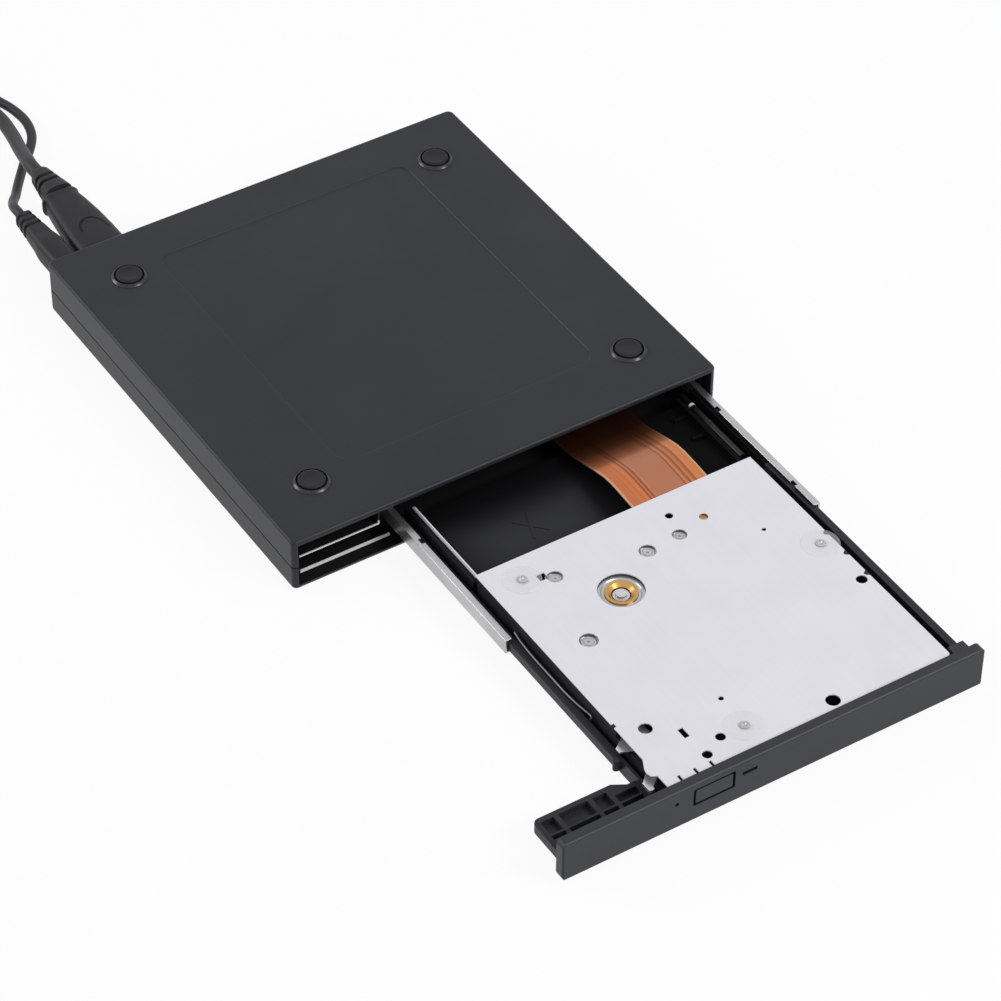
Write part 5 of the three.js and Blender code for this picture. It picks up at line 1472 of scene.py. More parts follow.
@dataclass
class Plug:
    """An overmoulded plug in a socket on the drive's rear."""

    x: float
    z: float
    width: float
    height: float
    length: float
    body: list[tuple[float, float, float, float]]  # shares of half width, half height and length, shift
    relief: Relief
    grip: tuple = ()  # points of a finger groove, across from the axis and y
    groove: float = 0.9
    groove_chords: int = 6  # per span of its points
    groove_sides: int = 8
    tip_share: float = 0.6  # height of the tip by its width
    sleeve_share: float = 1.02  # end of the relief by the cord's diameter

    def build(self, cord: Cord, sweep: PathSweep) -> Object:
        """Makes the overmould and its relief.

        Args:
            cord: The cord that leaves it.
            sweep: The tree that sweeps the finger groove.

        Returns:
            The plug.
        """
        node = cord.name + "_plug"
        tip_low, tip_high = span(node)
        start = tip_high.y - cord.diameter / 4 - self.relief.length - self.length
        sections = [
            (self.width / 2 * a, self.height / 2 * b, start + self.length * c, shift)
            for a, b, c, shift in self.body
        ]
        sections += self.relief.sections(start + self.length)
        end = start + self.length + self.relief.length
        sleeve = cord.diameter / 2 * self.sleeve_share
        sections.append((sleeve, sleeve, end + cord.diameter / 4, 0))
        piece = loft(cord.name + "_overmould", sections, (self.x, self.z))
        half = min(self.width, self.height) / 4
        flat = half * self.tip_share
        tip = block(
            (self.x - half, tip_low.y, self.z - flat),
            (self.x + half, start + OVERRUN, self.z + flat),
        )
        join(piece, tip)
        if self.grip:
            cut(piece, self.grip_groove(sweep))
        log.info("%s from y %.1f to %.1f", node, tip_low.y, tip_high.y)
        return place(piece, OVERMOULD, Body.ENCLOSURE, [node])

    def grip_groove(self, sweep: PathSweep) -> Object:
        """Gives the cutter of the arched finger groove, which follows the overmould's top.

        Args:
            sweep: The tree that sweeps it.

        Returns:
            The cutter.
        """
        line = []
        for across, y in self.grip:
            drop = (1 - abs(2 * across / self.width) ** (2 / SQUARENESS)) ** (SQUARENESS / 2)
            line.append(Vector((self.x + across, y, self.z + self.height / 2 * drop)))
        smoothed = smooth_line(line, self.groove_chords)
        return sweep.run("grip_groove", smoothed, self.groove, self.groove_sides, OVERMOULD)


@dataclass
class HostPlug:
    """The host end of a cord: an overmould and a metal shell with its tongue."""

    name: str
    diameter: float
    width: float = 16
    height: float = 8.2
    length: float = 22
    relief_length: float = 12
    relief_shares: tuple = (1.25, 1.7, 1.1)  # thin end, thick end and mouth by the diameter
    relief_grooves: tuple = (0.2, 0.45, 0.7)
    body: tuple = ((0.62, 0.75, 0.04), (0.93, 0.95, 0.2), (1, 1, 0.4), (1, 1, 0.97), (0.96, 0.93, 1))

    def build(self, start: Vector, heading: Vector) -> list[Object]:
        """Makes the plug where the cord ends.

        Args:
            start: The cord's end.
            heading: The way that the plug points.

        Returns:
            The overmould and the shell.
        """
        thin, thick, mouth = (self.diameter * share for share in self.relief_shares)
        relief = Relief(self.relief_length, thin, thick, self.relief_grooves)
        sections = [(mouth / 2, mouth / 2, GAP, 0), *relief.sections(GAP)]
        after = GAP + self.relief_length
        sections += [
            (self.width / 2 * a, self.height / 2 * b, after + self.length * c, 0) for a, b, c in self.body
        ]
        piece = loft(self.name + "_host_overmould", sections, (0, 0))
        turn = Matrix.Rotation(math.atan2(-heading.x, heading.y), 4, "Z")
        piece.data.transform(Matrix.Translation(start * MM) @ turn)
        place(piece, OVERMOULD, Body.ENCLOSURE, [self.name + "_host_plug"])
        shell = copy_of(self.name + "_host_shell", self.name + "_host_tip", SHELL_EDGE)
        place(shell, STEEL, Body.ENCLOSURE, [self.name + "_host_shell"])
        return [piece, shell]


USB_PLUG = Plug(
    x=-46.8,
    z=10.5,
    width=13.4,
    height=8.2,
    length=30.5,
    body=[
        (0.97, 0.86, 0, -0.9),
        (1.06, 0.95, 0.015, -0.9),
        (1.1, 1, 0.08, -0.9),
        (1.08, 1, 0.3, -0.8),
        (1, 1, 0.55, -0.6),
        (0.88, 0.98, 0.78, -0.5),
        (0.8, 0.96, 0.89, -0.5),
        (0.79, 0.96, 0.915, -0.5),
        (0.87, 0.97, 0.94, -0.5),
        (0.86, 0.95, 0.965, -0.5),
        (0.7, 0.86, 1, -0.2),
    ],
    relief=Relief(12.5, 9, 5.6, (0.36, 0.6)),
    grip=((-4, 78), (-3.2, 80.6), (-1.6, 82.3), (0.2, 82.8), (2, 82), (3.4, 79.8), (4.2, 76.6)),
)
DC_PLUG = Plug(
    x=-60,
    z=10.5,
    width=8.2,
    height=8.2,
    length=15,
    body=[
        (0.82, 0.82, 0, 0),
        (0.92, 0.92, 0.03, 0),
        (1, 1, 0.1, 0),
        (1, 1, 0.7, 0),
        (0.95, 0.95, 0.85, 0),
        (0.86, 0.86, 1, 0),
    ],
    relief=Relief(13, 7, 5, (0.4, 0.6, 0.8)),
)
USB_CORD = Cord(
    name="usb",
    diameter=4.3,
    turns=2.5,
    plug=USB_PLUG,
    route=[
        (-46.1, 121.5, 9.7),
        (-45, 126.5, 8.3),
        (-43.7, 132, 6.8),
        (-42.2, 138, 5.4),
        (-41, 144, 4.2),
        (-40.3, 150, 3.6),
        (-40.8, 157, 3.3),
        (-43, 164.5, 3.25),
        (-47, 171.5, 3.25),
        (-49.3, 178.5, 3.25),
    ],
)
DC_CORD = Cord(
    name="dc",
    diameter=2.9,
    turns=3.25,
    plug=DC_PLUG,
    route=[
        (-59.3, 104.6, 9.2),
        (-58, 108, 7.2),
        (-56, 112, 5.2),
        (-53.4, 116, 3.2),
        (-50.4, 120.8, 2),
        (-47, 125.6, 1.5),
        (-42.8, 131, 1.5),
        (-38.6, 135.7, 1.5),
        (-35, 141.4, 1.5),
        (-33.3, 148.4, 1.5),
        (-33.9, 156, 1.5),
        (-36, 163, 1.6),
        (-38, 172, 1.8),
        (-38.8, 184, 2.1),
        (-39.6, 198, 2.5),
        (-40, 214, 2.5),
        (-40, 226, 2.5),
    ],
)


# Small pieces that repeat


class Repeat:
    """A geometry nodes tree that sets one shape on many points, each to its own size."""

    def __init__(self) -> None:
        """Builds the tree with inputs for the shape and the material."""
        self.tree = bpy.data.node_groups.new("repeat_shape", "GeometryNodeTree")
        face = self.tree.interface
        face.new_socket("Geometry", in_out="INPUT", socket_type="NodeSocketGeometry")
        self.shape = face.new_socket("Shape", in_out="INPUT", socket_type="NodeSocketObject").identifier
        material = face.new_socket("Material", in_out="INPUT", socket_type="NodeSocketMaterial")
        self.material = material.identifier
        face.new_socket("Geometry", in_out="OUTPUT", socket_type="NodeSocketGeometry")
        nodes, links = self.tree.nodes, self.tree.links
        entry, leave = nodes.new("NodeGroupInput"), nodes.new("NodeGroupOutput")
        source = nodes.new("GeometryNodeObjectInfo")
        spread = nodes.new("GeometryNodeInstanceOnPoints")
        size = nodes.new("GeometryNodeInputNamedAttribute")
        size.inputs["Name"].default_value = "size"
        real = nodes.new("GeometryNodeRealizeInstances")
        paint = nodes.new("GeometryNodeSetMaterial")
        links.new(entry.outputs["Shape"], source.inputs["Object"])
        links.new(entry.outputs["Geometry"], spread.inputs["Points"])
        links.new(source.outputs["Geometry"], spread.inputs["Instance"])
        links.new(size.outputs["Attribute"], spread.inputs["Scale"])
        links.new(spread.outputs["Instances"], real.inputs["Geometry"])
        links.new(real.outputs["Geometry"], paint.inputs["Geometry"])
        links.new(entry.outputs["Material"], paint.inputs["Material"])
        links.new(paint.outputs["Geometry"], leave.inputs["Geometry"])

    def run(
        self,
        name: str,
        shape: Object,
        points: Sequence[tuple[Point3, float]],
        finish: Finish,
        body: Body,
    ) -> Object:
        """Sets a shape on points.

        Args:
            name: Name of the object.
            shape: The shape, which is removed.
            points: Places in millimetres and sizes.
            finish: The finish that the tree sets.
            body: The body that the shapes ride on.

        Returns:
            A plain mesh object.
        """
        mesh = bpy.data.meshes.new(name + "_points")
        mesh.from_pydata([tuple(Vector(place_at) * MM) for place_at, _ in points], [], [])
        sizes = mesh.attributes.new("size", "FLOAT", "POINT")
        sizes.data.foreach_set("value", [size for _, size in points])
        source = bpy.data.objects.new(name + "_points", mesh)
        bpy.context.scene.collection.objects.link(source)
        modifier = source.modifiers.new("repeat", "NODES")
        modifier.node_group = self.tree
        modifier[self.shape] = shape
        modifier[self.material] = finish.material()
        evaluated = source.evaluated_get(bpy.context.evaluated_depsgraph_get())
        made = bpy.data.objects.new(name, bpy.data.meshes.new_from_object(evaluated))
        bpy.context.scene.collection.objects.link(made)
        discard(source, shape)
        return place(made, finish, body)


HEAD_SHARES = (0.45, 0.8)  # height of a screw head's shoulder and radius of its crown
RECESS_SHARES = (0.6, 0.3)  # reach and floor of the cross in it


def screw_head(radius: float, height: float, slot: float) -> Object:
    """Makes a low screw head with a cross recess, its seat at the origin.

    Args:
        radius: Radius of the head.
        height: Its height.
        slot: Width of the cross.

    Returns:
        The head.
    """
    shoulder, crown = height * HEAD_SHARES[0], radius * HEAD_SHARES[1]
    profile = [(0, 0), (radius, 0), (radius, shoulder), (crown, height), (0, height)]
    head = turned(profile, steps=20, name="head")
    reach, floor = radius * RECESS_SHARES[0], height * RECESS_SHARES[1]
    arms = [
        block((-reach, -slot / 2, floor), (reach, slot / 2, height * 2)),
        block((-slot / 2, -reach, floor), (slot / 2, reach, height * 2)),
    ]
    return cut(head, *arms)


CUP_SHEET = 0.06  # sheet of a dimple's cup, like all below by the cup's radius
HEAD_STEP = 0.05  # broken edge of its screw, and depth of the groove in the screw
GROOVE_SLOPE = 0.03
GROOVE_RADII = (0.52, 0.4)
DIP_RADIUS = 0.15  # of the dip in the screw's middle
DIP_DEPTH = 0.1


def dimple(rim: float = 0.93, head: float = 0.7, top: float = -0.08, depth: float = 0.42) -> Object:
    """Makes a screw of radius 1 in its cup, the cup's rim at the origin's height.

    Args:
        rim: Inner radius of the cup.
        head: Radius of the screw's head.
        top: Height of the head.
        depth: Depth of the cup.

    Returns:
        The screw in its cup.
    """
    floor, step, dip = CUP_SHEET - depth, top - HEAD_STEP, top - DIP_DEPTH
    outer, inner = GROOVE_RADII
    profile = [(0, -depth), (1, -depth), (1, 0), (rim, 0), (rim, floor), (head, floor)]
    profile += [(head, step), (head - HEAD_STEP, top)]
    profile += [(outer, top), (outer - GROOVE_SLOPE, step), (inner + GROOVE_SLOPE, step), (inner, top)]
    profile += [(DIP_RADIUS, top), (DIP_RADIUS - GROOVE_SLOPE, dip), (0, dip)]
    return turned(profile, steps=28, name="dimple")


# Casing


class SubAssembly:
    """A group of pieces that main() builds."""

    def build(self, repeat: Repeat) -> None:
        """Makes the group.

        Args:
            repeat: The tree that sets a shape on points.
        """
        raise NotImplementedError


@dataclass
class CaseHalf:
    """One half of the case: a plate with walls on three sides, open toward the mouth."""

    wall: float = 1.6
    rear_corner: float = 2
    front_corner: float = 1.4
    least_corner: float = 0.2

    def outline(self, inset: float) -> Outline:
        """Gives the case's outline for an inset.

        Args:
            inset: How far inside it lies.

        Returns:
            The outline.
        """
        low, high = span("top_shell")
        rear = max(self.rear_corner - inset, self.least_corner)
        front = max(self.front_corner - inset / 2, self.least_corner)
        return rounded(
            (low.x + inset, low.y + inset), (high.x - inset, high.y - inset), [front, front, rear, rear], 10
        )

    def hollow(self, low: float, high: float) -> Object:
        """Gives the room inside the walls, which runs out through the mouth.

        Args:
            low: Lowest height.
            high: Highest height.

        Returns:
            The room, as a cutter.
        """
        corner_low, corner_high = span("top_shell")
        radius = self.rear_corner - self.wall
        return prism(
            rounded(
                (corner_low.x + self.wall, corner_low.y - OVERRUN),
                (corner_high.x - self.wall, corner_high.y - self.wall),
                [0, 0, radius, radius],
            ),
            low,
            high,
        )


@dataclass
class Casing(SubAssembly):
    """The two shells and the four feet."""

    half: CaseHalf = field(default_factory=CaseHalf)
    height: float = 17.1
    plate: float = 1.6
    upper_edge: float = 0.9
    lower_edge: float = 1.35
    label_low: Point2 = (-40, -48.5)
    label_high: Point2 = (41.5, 54)
    label_corner: float = 5
    label_depth: float = 0.3
    label_edge: float = 0.25
    foot_from_centre: float = 50.4
    foot_radius: float = 3.8
    foot_top: float = 18.3
    collar_radius: float = 5.2
    collar_rise: float = 0.75
    collar_bore: float = 4.3
    pocket_radius: float = 4.85
    pocket_depth: float = 0.9
    tongue: float = 0.7
    tongue_height: float = 1.2
    edge_steps: int = 6
    # The collar's profile: in from its edge or out from its bore, and the share of its rise
    collar_slope: tuple = ((0.03, 0.16), (0.2, 0.4), (0.55, 0.8), (0.7, 0.95), (0.78, 1))
    collar_lip: tuple = ((0.04, 0.95), (0, 0.85))
    foot_edge: float = 0.55
    foot_angles: tuple = (0.4, 0.8, 1.2)  # in radians, of the points on the foot's edge
    foot_rim: float = 1.3
    foot_dish: float = 0.12
    usb_hole: Point2 = (4.4, 2.1)  # half its width and half its height
    usb_hole_corner: float = 0.5
    dc_hole: float = 2.3
    hole_depth: float = 3

    def sockets(self) -> list[Object]:
        """Gives the holes of the two sockets in the rear wall.

        Returns:
            The cutters.
        """
        rear = span("top_shell")[1].y
        half_x, half_z = self.usb_hole
        low = (USB_PLUG.x - half_x, USB_PLUG.z - half_z)
        high = (USB_PLUG.x + half_x, USB_PLUG.z + half_z)
        holes = [
            rounded(low, high, self.usb_hole_corner),
            circle((DC_PLUG.x, DC_PLUG.z), self.dc_hole),
        ]
        return [prism(hole, rear - self.hole_depth, rear + OVERRUN, Axis.Y) for hole in holes]

    def upper(self) -> Object:
        """Makes the half with the feet, which faces up.

        Returns:
            The half.
        """
        half = self.half
        low = span("bottom_shell")[0].z
        edges = (0, self.upper_edge)
        shell = soft_prism(half.outline, low, self.height, edges, self.edge_steps, "shell_with_feet")
        shell = cut(shell, half.hollow(low - 1, self.height - self.plate))
        pockets = [
            prism(circle(centre, self.pocket_radius), self.height - self.pocket_depth, self.height + 2)
            for centre in self.foot_places()
        ]
        shell = cut(shell, self.label_cutter(), *pockets, *self.sockets())
        break_edges(shell, CASE_EDGE)
        return place(shell, SHELL, Body.ENCLOSURE, ["bottom_shell"])

    def label_cutter(self) -> Object:
        """Gives the shallow recess of the label, with sloping sides.

        Returns:
            The cutter.
        """

        def outline(inset: float) -> Outline:
            """Gives the recess's outline for an inset.

            Args:
                inset: How far inside it lies.

            Returns:
                The outline.
            """
            return rounded(
                (self.label_low[0] + inset, self.label_low[1] + inset),
                (self.label_high[0] - inset, self.label_high[1] - inset),
                self.label_corner - inset,
            )

        edge, top = outline(0), self.height
        floor = lift(outline(self.label_edge), top - self.label_depth)
        return skin("label", [floor, lift(edge, top), lift(edge, top + OVERRUN)])

    def lower(self) -> Object:
        """Makes the half that the drive lies on.

        Returns:
            The half.
        """
        half = self.half
        seam = span("bottom_shell")[0].z - GAP
        shell = soft_prism(half.outline, 0, seam, (self.lower_edge, 0), self.edge_steps, "shell_lying_on")
        low, high = span("top_shell")
        inner = half.wall - self.tongue
        rim = prism(
            rounded(
                (low.x + inner, low.y + half.wall + GAP),
                (high.x - inner, high.y - inner),
                [0, 0, half.rear_corner - inner, half.rear_corner - inner],
            ),
            seam - 1,
            seam + self.tongue_height,
        )
        shell = join(shell, rim)
        shell = cut(shell, half.hollow(self.plate, seam + self.tongue_height + 1), *self.sockets())
        break_edges(shell, CASE_EDGE)
        return place(shell, SHELL, Body.ENCLOSURE, ["top_shell"])

    def foot_places(self) -> list[Point2]:
        """Gives the feet's places in the order of their nodes.

        Returns:
            x and y of each foot.
        """
        reach = self.foot_from_centre
        return [(x * reach, y * reach) for x in (-1, 1) for y in (-1, 1)]

    def feet(self) -> None:
        """Makes the four rubber feet."""
        names = ["foot_front_left", "foot_rear_left", "foot_front_right", "foot_rear_right"]
        base = self.height - self.pocket_depth + SEAT
        radius, top, edge = self.foot_radius, self.foot_top, self.foot_edge
        dished = top - self.foot_dish
        profile = [(0, base), (radius, base), (radius, top - edge)]
        profile += [
            (radius - edge + edge * math.cos(angle), top - edge + edge * math.sin(angle))
            for angle in self.foot_angles
        ]
        profile += [(radius - edge, top), (radius - 2 * edge, top)]
        profile += [(radius - self.foot_rim, dished), (0, dished)]
        for node, (x, y) in zip(names, self.foot_places()):
            piece = turned(profile, (x, y, 0), name=node.replace("foot", "rubber"))
            place(piece, RUBBER, Body.ENCLOSURE, [node])

    def collars(self, repeat: Repeat) -> None:
        """Makes the glossy collars that hold the feet in their pockets.

        Args:
            repeat: The tree that sets a shape on points.
        """
        outer, bore, rise = self.collar_radius, self.collar_bore, self.collar_rise
        base, waist = SEAT - self.pocket_depth, self.pocket_radius - SEAT
        profile = [(bore, base), (waist, base), (waist, SEAT), (outer, SEAT)]
        profile += [(outer - inward, rise * share) for inward, share in self.collar_slope]
        profile += [(bore + outward, rise * share) for outward, share in self.collar_lip]
        shape = turned(profile, steps=48, name="collar", looped=True)
        points = [((x, y, self.height), 1.0) for x, y in self.foot_places()]
        repeat.run("foot_collars", shape, points, COLLAR, Body.ENCLOSURE)

    def build(self, repeat: Repeat) -> None:
        """Makes the casing.

        Args:
            repeat: The tree that sets a shape on points.
        """
        self.upper()
        self.lower()
        self.feet()
        self.collars(repeat)
        finish_node("bridge_board", BOARD)
        finish_node("usb_socket", STEEL)
        finish_node("dc_jack", SOCKET)


# Drive inside the case


@dataclass
class Housing(SubAssembly):
    """The drive's sheet housing, its guides, boards and cable."""

    straight_ends: Point2 = (6, 4)  # of the cable, at the board and at the tray

    def build(self, repeat: Repeat) -> None:
        """Dresses the housing and makes the cable.

        Args:
            repeat: Not needed by this group.
        """
        finish_node("housing_pan", PAN)
        finish_node("housing_cover", PAN)
        finish_node("main_board", BOARD)
        finish_node("slim_connector", SOCKET)
        finish_node("rail_guide_left", SOCKET)
        finish_node("rail_guide_right", SOCKET)
        self.cable()

    def cable(self) -> Object:
        """Makes the flexible cable between the board and the tray, with its own map.

        Returns:
            The cable.
        """
        piece = copy_of("flex_cable", "flex_ribbon")
        low, high = span("flex_cable")
        mesh = piece.data
        layer = mesh.uv_layers.new(name="flex")
        for loop in mesh.loops:
            point = mesh.vertices[loop.vertex_index].co / MM
            layer.data[loop.index].uv = (
                (point.x - low.x) / (high.x - low.x),
                (point.y - low.y) / (high.y - low.y),
            )
        smooth(piece, ROUND_SHADE)
        paint(piece, FLEX)
        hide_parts("flex_cable")
        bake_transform(piece)
        return piece


@dataclass
class Rails(SubAssembly):
    """The two telescopic rails."""

    edge: float = 0.15

    def build(self, repeat: Repeat) -> None:
        """Makes the rails with folded edges.

        Args:
            repeat: Not needed by this group.
        """
        for node, body in (("rail_left", Body.LEFT_RAIL), ("rail_right", Body.RIGHT_RAIL)):
            piece = copy_of(node, node.replace("rail", "channel"), self.edge)
            place(piece, RAIL, body, [node])


@dataclass
class Tray(SubAssembly):
    """The tray moulding with what is fixed to it."""

    edge: float = 0.08
    washer_radius: float = 5.25
    washer_thickness: float = 0.45
    washer_boss: float = 2.9
    # The washer's profile: in from its edge or its boss, and the share of its thickness
    washer_rim: tuple = ((0, 0), (0, 0.4), (0.3, 1), (0.75, 1), (0.95, 0.7))
    washer_dish: tuple = ((0, 0.7), (0.3, 0.5))
    floor: float = 5.8
    mark: Point2 = (-3.9, -85.4)
    mark_reach: float = 5.2
    mark_width: float = 0.7
    mark_height: float = 0.16
    mark_angles: tuple = (-47, -110)
    wire_diameter: float = 0.65
    wire_chords: int = 6  # per span of its points
    wire_sides: int = 12
    cap_depth: float = 1.5
    cap_inset: float = 0.2
    # Centre line of the sprung wire, across and along, and its hooked front end
    wire: tuple = (
        (-31.4, -120.5),
        (-31.9, -124),
        (-32.25, -131.6),
        (-32.25, -138.8),
        (-32.25, -145.7),
        (-31.85, -151.4),
        (-31.45, -154.2),
        (-31.3, -155.7),
        (-31.55, -156.6),
        (-32.1, -156.7),
    )
    # Riveted dimples under the plate's holes: across, along and radius
    dimples: tuple = ((-13.7, -112.1, 2.6), (12.1, -116.7, 2.8), (22.7, -116, 2.5), (-19.2, -136.3, 3))
    brass_dimple: Point3 = (32, -113.6, 1.65)
    screw_radius: float = 1.35
    screw_height: float = 0.24
    screw_slot: float = 0.34
    screw_gap: float = 0.02

    def build(self, repeat: Repeat) -> None:
        """Makes the tray's own pieces.

        Args:
            repeat: The tree that sets a shape on points.
        """
        place(copy_of("tray", "tray_moulding", self.edge), TRAY, Body.TRAY, ["tray"])
        place(copy_of("bezel", "front_bezel", PLAIN_EDGE), BEZEL, Body.TRAY, ["bezel"])
        cap = copy_of("eject_button", "button_cap", PLAIN_EDGE)
        place(self.narrowed(cap), BEZEL, Body.BUTTON, ["eject_button"])
        place(copy_of("light_pipe", "light_bar", THIN_EDGE), UNLIT, Body.TRAY, ["light_pipe"])
        place(copy_of("tray_plate", "steel_plate", FINE_EDGE), PLATE, Body.TRAY, ["tray_plate"])
        place(copy_of("latch_lever", "catch_lever", PLAIN_EDGE), STEEL, Body.LATCH, ["latch_lever"])
        place(copy_of("ejector_plunger", "ejector_pin"), SHAFT, Body.EJECTOR, ["ejector_plunger"])
        place(copy_of("earth_strip", "contact_strip", THIN_EDGE), PLATE, Body.TRAY, ["earth_strip"])
        magnet = copy_of("latch_solenoid", "catch_magnet", FINE_EDGE)
        place(magnet, STEEL, Body.TRAY, ["latch_solenoid"])
        finish_node("tray_board", BOARD)
        self.washers(repeat)
        self.rivets(repeat)
        self.moulded_mark()

    def sprung_wire(self, sweep: PathSweep) -> Object:
        """Makes the bowed wire on the tray's left side, hooked at its front end.

        Args:
            sweep: The tree that sweeps it.

        Returns:
            The wire.
        """
        height = centre_of("wire_spring").z
        line = smooth_line([Vector((x, y, height)) for x, y in self.wire], self.wire_chords)
        piece = sweep.run("bowed_wire", line, self.wire_diameter, self.wire_sides, DARK_STEEL)
        return place(piece, DARK_STEEL, Body.TRAY, ["wire_spring"], ROUND_SHADE)

    def washers(self, repeat: Repeat) -> None:
        """Makes the clear washers and the screws in their middles.

        Args:
            repeat: The tree that sets a shape on points.
        """
        radius, thick, boss = self.washer_radius, self.washer_thickness, self.washer_boss
        points = []
        for node in ("washer_right", "washer_rear_left", "washer_front"):
            middle, low = centre_of(node), span(node)[0].z
            profile = [(0, low)]
            profile += [(radius - inward, low + thick * share) for inward, share in self.washer_rim]
            profile += [(boss - inward, low + thick * share) for inward, share in self.washer_dish]
            seat = profile[-1][1]
            profile.append((0, seat))
            piece = turned(profile, (middle.x, middle.y, 0), name=node.replace("washer", "disc"))
            place(piece, CLEAR, Body.TRAY, [node])
            points.append(((middle.x, middle.y, seat + self.screw_gap), 1.0))
        head = screw_head(self.screw_radius, self.screw_height, self.screw_slot)
        repeat.run("washer_screws", head, points, RAIL, Body.TRAY)

    def rivets(self, repeat: Repeat) -> None:
        """Makes the riveted dimples that show through the plate's holes.

        Args:
            repeat: The tree that sets a shape on points.
        """
        under = span("tray_plate")[0].z - SEAT
        points = [((x, y, under), radius) for x, y, radius in self.dimples]
        repeat.run("plate_dimples", dimple(), points, RAIL, Body.TRAY)
        x, y, radius = self.brass_dimple
        repeat.run("brass_dimple", dimple(), [((x, y, under), radius)], BRASS, Body.TRAY)

    def narrowed(self, cap: Object) -> Object:
        """Draws the cap's front in, so that its dark gap is as wide as in the photograph.

        Args:
            cap: The button's cap.

        Returns:
            The same cap.
        """
        points = [point.co for point in cap.data.vertices]
        front = min(point.y for point in points) + self.cap_depth * MM
        shown = [point for point in points if point.y < front]
        low_x, high_x = min(p.x for p in shown), max(p.x for p in shown)
        low_z, high_z = min(p.z for p in shown), max(p.z for p in shown)
        for point in shown:
            right, over = point.x > (low_x + high_x) / 2, point.z > (low_z + high_z) / 2
            point.x += self.cap_inset * MM * (-1 if right else 1)
            point.z += self.cap_inset * MM * (-1 if over else 1)
        return cap

    def moulded_mark(self) -> None:
        """Makes the low moulded cross on the tray's floor."""
        arms, reach, half = [], self.mark_reach, self.mark_width / 2
        for angle in self.mark_angles:
            arm = block((-reach, -half, 0), (reach, half, self.mark_height), "moulded_cross")
            arm.data.transform(Matrix.Rotation(math.radians(angle), 4, "Z"))
            arms.append(arm)
        cross = break_edges(join(*arms), FINE_EDGE)
        cross.data.transform(Matrix.Translation(Vector((*self.mark, self.floor + 0.01)) * MM))
        place(cross, TRAY, Body.TRAY)


@dataclass
class Traverse(SubAssembly):
    """The spindle, the pickup and what carries them."""

    ring_bore: float = 4.55
    ring_radius: float = 6.9
    ring_low: float = 12.2
    ring_high: float = 12.7
    ring_edge: float = 0.1
    ring_land: Point2 = (0.9, 0.7)  # out from the bore, where the slope into it starts and ends
    ring_drop: float = 0.2

    def flange_ring(self) -> None:
        """Makes the bright ring round the motor's bearing, just under the plate."""
        centre = centre_of("turntable")
        bore, outer, low, high = self.ring_bore, self.ring_radius, self.ring_low, self.ring_high
        edge, (start, end), sunk = self.ring_edge, self.ring_land, high - self.ring_drop
        profile = [(bore, low), (outer, low), (outer, high - edge), (outer - edge, high)]
        profile += [(bore + start, high), (bore + end, sunk), (bore, sunk)]
        ring = turned(profile, (centre.x, centre.y, 0), name="bearing_ring", looped=True)
        place(ring, RAIL, Body.TRAY)

    def build(self, repeat: Repeat) -> None:
        """Dresses the mechanism.

        Args:
            repeat: Not needed by this group.
        """
        self.flange_ring()
        finish_node("traverse_chassis", DARK_STEEL)
        bearing = copy_of("spindle_motor", "motor_bearing", FINE_EDGE)
        place(bearing, BRASS, Body.TRAY, ["spindle_motor"])
        place(copy_of("turntable", "disc_seat", FINE_EDGE), STEEL, Body.DISC_HUB, ["turntable"])
        finish_node("guide_rod_near", STEEL)
        finish_node("guide_rod_far", STEEL)
        finish_node("feed_motor", DARK_STEEL)
        finish_node("lead_screw", BRASS)
        finish_node("pickup", DARK_STEEL)
        finish_node("lens", LENS)


# Stage


def seen_rays(tree: bpy.types.NodeTree) -> Socket:
    """Gives 1 for rays of the camera, of gloss and of clear pieces, and 0 for the light on surfaces.

    Args:
        tree: The tree that gets the nodes.

    Returns:
        The mask.
    """
    path = tree.nodes.new("ShaderNodeLightPath")
    seen = path.outputs["Is Camera Ray"]
    for ray in ("Is Glossy Ray", "Is Transmission Ray"):
        either = tree.nodes.new("ShaderNodeMath")
        either.operation = "MAXIMUM"
        tree.links.new(seen, either.inputs[0])
        tree.links.new(path.outputs[ray], either.inputs[1])
        seen = either.outputs["Value"]
    return seen


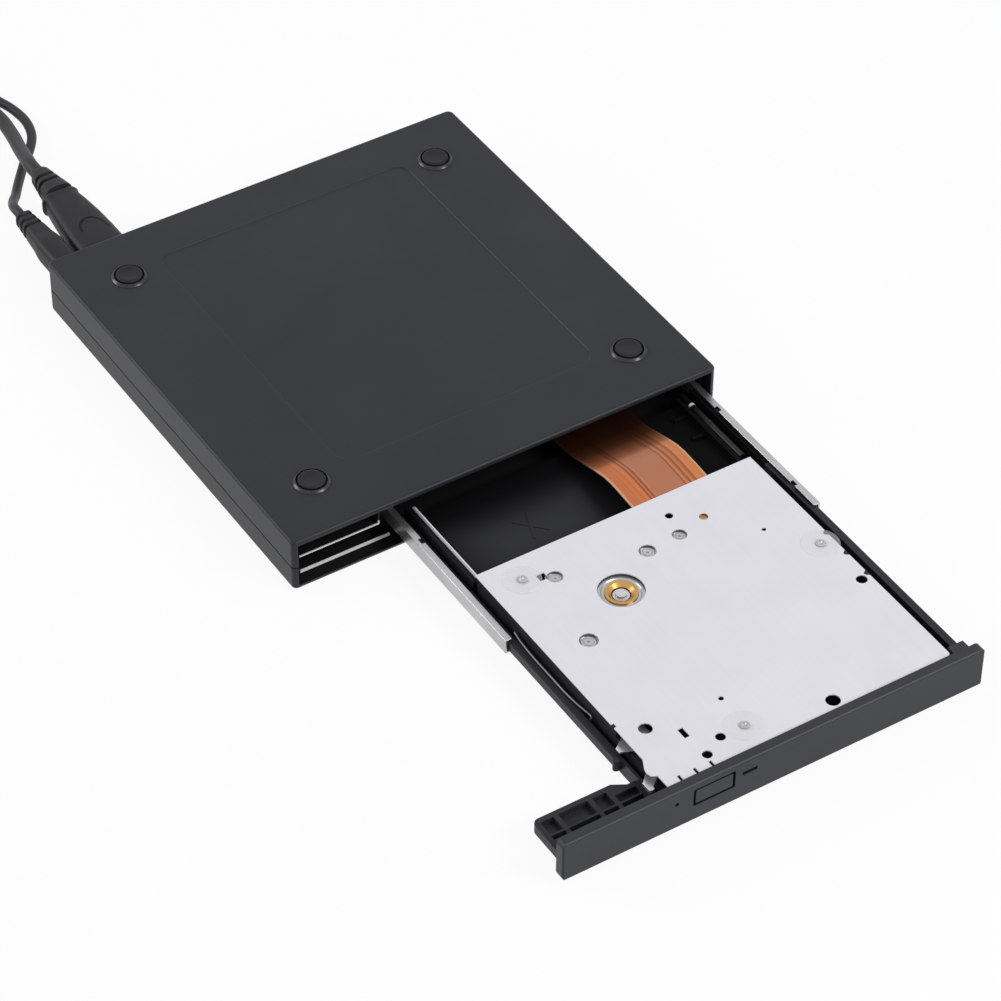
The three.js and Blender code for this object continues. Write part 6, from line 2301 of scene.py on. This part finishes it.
@dataclass
class Stage:
    """The camera at the photograph's angle, a pale floor and soft light."""

    azimuth: float = -32.06
    elevation: float = 42.58
    distance: float = 1078.98
    focal_pixels: float = 4005.65
    principal: Point2 = (462.64, 502.45)
    target: Point3 = (-11.03, -62.76, 0)
    sensor: float = 36
    clip: Point2 = (0.05, 20)  # in metres
    fill: float = 0.48  # strength of the surround's light on matt surfaces
    floor_glow: float = 0.92  # share of the floor's look that is plain white
    floor_height: float = -0.03
    paper_scale: float = 90
    paper_tones: tuple = ((0.2, 0.955), (0.9, 0.975))  # place in the grain and linear grey
    paper_roughness: float = 0.9
    floor_half: float = 6  # half its side, in metres
    # Each lamp's name, its place and side in metres, and its power in watts
    lamps: tuple = (
        ("front_lamp", (0.62, -1.12, 0.98), 0.6, 11),
        ("left_lamp", (-1.09, 0.95, 0.66), 0.7, 9),
    )

    def camera(self) -> None:
        """Makes the camera."""
        a, e = math.radians(self.azimuth), math.radians(self.elevation)
        back = Vector((math.sin(a) * math.cos(e), -math.cos(a) * math.cos(e), math.sin(e)))
        data = bpy.data.cameras.new("camera")
        data.sensor_width = self.sensor
        data.lens = self.focal_pixels / IMAGE_SIDE * self.sensor
        middle = IMAGE_SIDE / 2
        data.shift_x = (middle - self.principal[0]) / IMAGE_SIDE
        data.shift_y = (self.principal[1] - middle) / IMAGE_SIDE
        data.clip_start, data.clip_end = self.clip
        camera = bpy.data.objects.new("camera", data)
        bpy.context.scene.collection.objects.link(camera)
        camera.location = (Vector(self.target) + back * self.distance) * MM
        camera.rotation_mode = "QUATERNION"
        camera.rotation_quaternion = (-back).to_track_quat("-Z", "Y")
        bpy.context.scene.camera = camera

    def floor(self) -> None:
        """Makes the pale floor."""
        bm = bmesh.new()
        bmesh.ops.create_grid(bm, x_segments=1, y_segments=1, size=self.floor_half)
        mesh = bpy.data.meshes.new("floor")
        bm.to_mesh(mesh)
        bm.free()
        floor = bpy.data.objects.new("floor", mesh)
        floor.location.z = self.floor_height * MM
        bpy.context.scene.collection.objects.link(floor)
        tree = Tree("floor_paper")
        grain = tree.noise(self.paper_scale, 2)
        tree.set(
            Base_Color=tree.ramp(grain, [(stop, (grey, grey, grey, 1)) for stop, grey in self.paper_tones]),
            Roughness=self.paper_roughness,
            Specular_IOR_Level=0.0,
        )
        glow = tree.add("ShaderNodeEmission", Strength=1.0)
        mix = tree.add("ShaderNodeMixShader")
        seen = seen_rays(tree.tree)
        tree.tree.links.new(tree.math("MULTIPLY", seen, self.floor_glow), mix.inputs[0])
        tree.tree.links.new(tree.shader.outputs[0], mix.inputs[1])
        tree.tree.links.new(glow.outputs[0], mix.inputs[2])
        tree.tree.links.new(mix.outputs[0], tree.tree.nodes["Material Output"].inputs["Surface"])
        mesh.materials.append(tree.material)

    def lamp(self, name: str, place_at: Point3, size: float, power: float) -> None:
        """Makes a soft square lamp that faces the drive.

        Args:
            name: Name of the lamp.
            place_at: Where it hangs, in metres.
            size: Its side, in metres.
            power: In watts.
        """
        data = bpy.data.lights.new(name, "AREA")
        data.energy = power
        data.size = size
        lamp = bpy.data.objects.new(name, data)
        lamp.location = place_at
        lamp.rotation_mode = "QUATERNION"
        lamp.rotation_quaternion = (Vector(self.target) * MM - Vector(place_at)).to_track_quat("-Z", "Y")
        bpy.context.scene.collection.objects.link(lamp)

    def world(self) -> None:
        """Makes a white surround that lights less than it shows."""
        world = bpy.data.worlds.new("studio")
        world.use_nodes = True
        bpy.context.scene.world = world
        nodes, links = world.node_tree.nodes, world.node_tree.links
        shade = nodes["Background"]
        shade.inputs["Color"].default_value = (1, 1, 1, 1)
        strength = nodes.new("ShaderNodeMapRange")
        strength.inputs["To Min"].default_value = self.fill
        strength.inputs["To Max"].default_value = 1
        links.new(seen_rays(world.node_tree), strength.inputs["Value"])
        links.new(strength.outputs["Result"], shade.inputs["Strength"])

    def build(self) -> None:
        """Makes the stage."""
        bpy.context.scene.view_settings.view_transform = "Standard"
        self.camera()
        self.floor()
        self.world()
        for name, spot, size, power in self.lamps:
            self.lamp(name, spot, size, power)


def main() -> None:
    """Builds the drive's looks in order and reports each sub-assembly."""
    logging.basicConfig(level=logging.INFO, format="%(message)s")
    Stage().build()
    sweep, repeat, tray = PathSweep(), Repeat(), Tray()
    for cord in (USB_CORD, DC_CORD):
        cord.build(sweep)
    tray.sprung_wire(sweep)
    for part in (Casing(), Housing(), Rails(), tray, Traverse()):
        part.build(repeat)
        log.info("%s made", type(part).__name__)


if __name__ == "__main__":
    main()
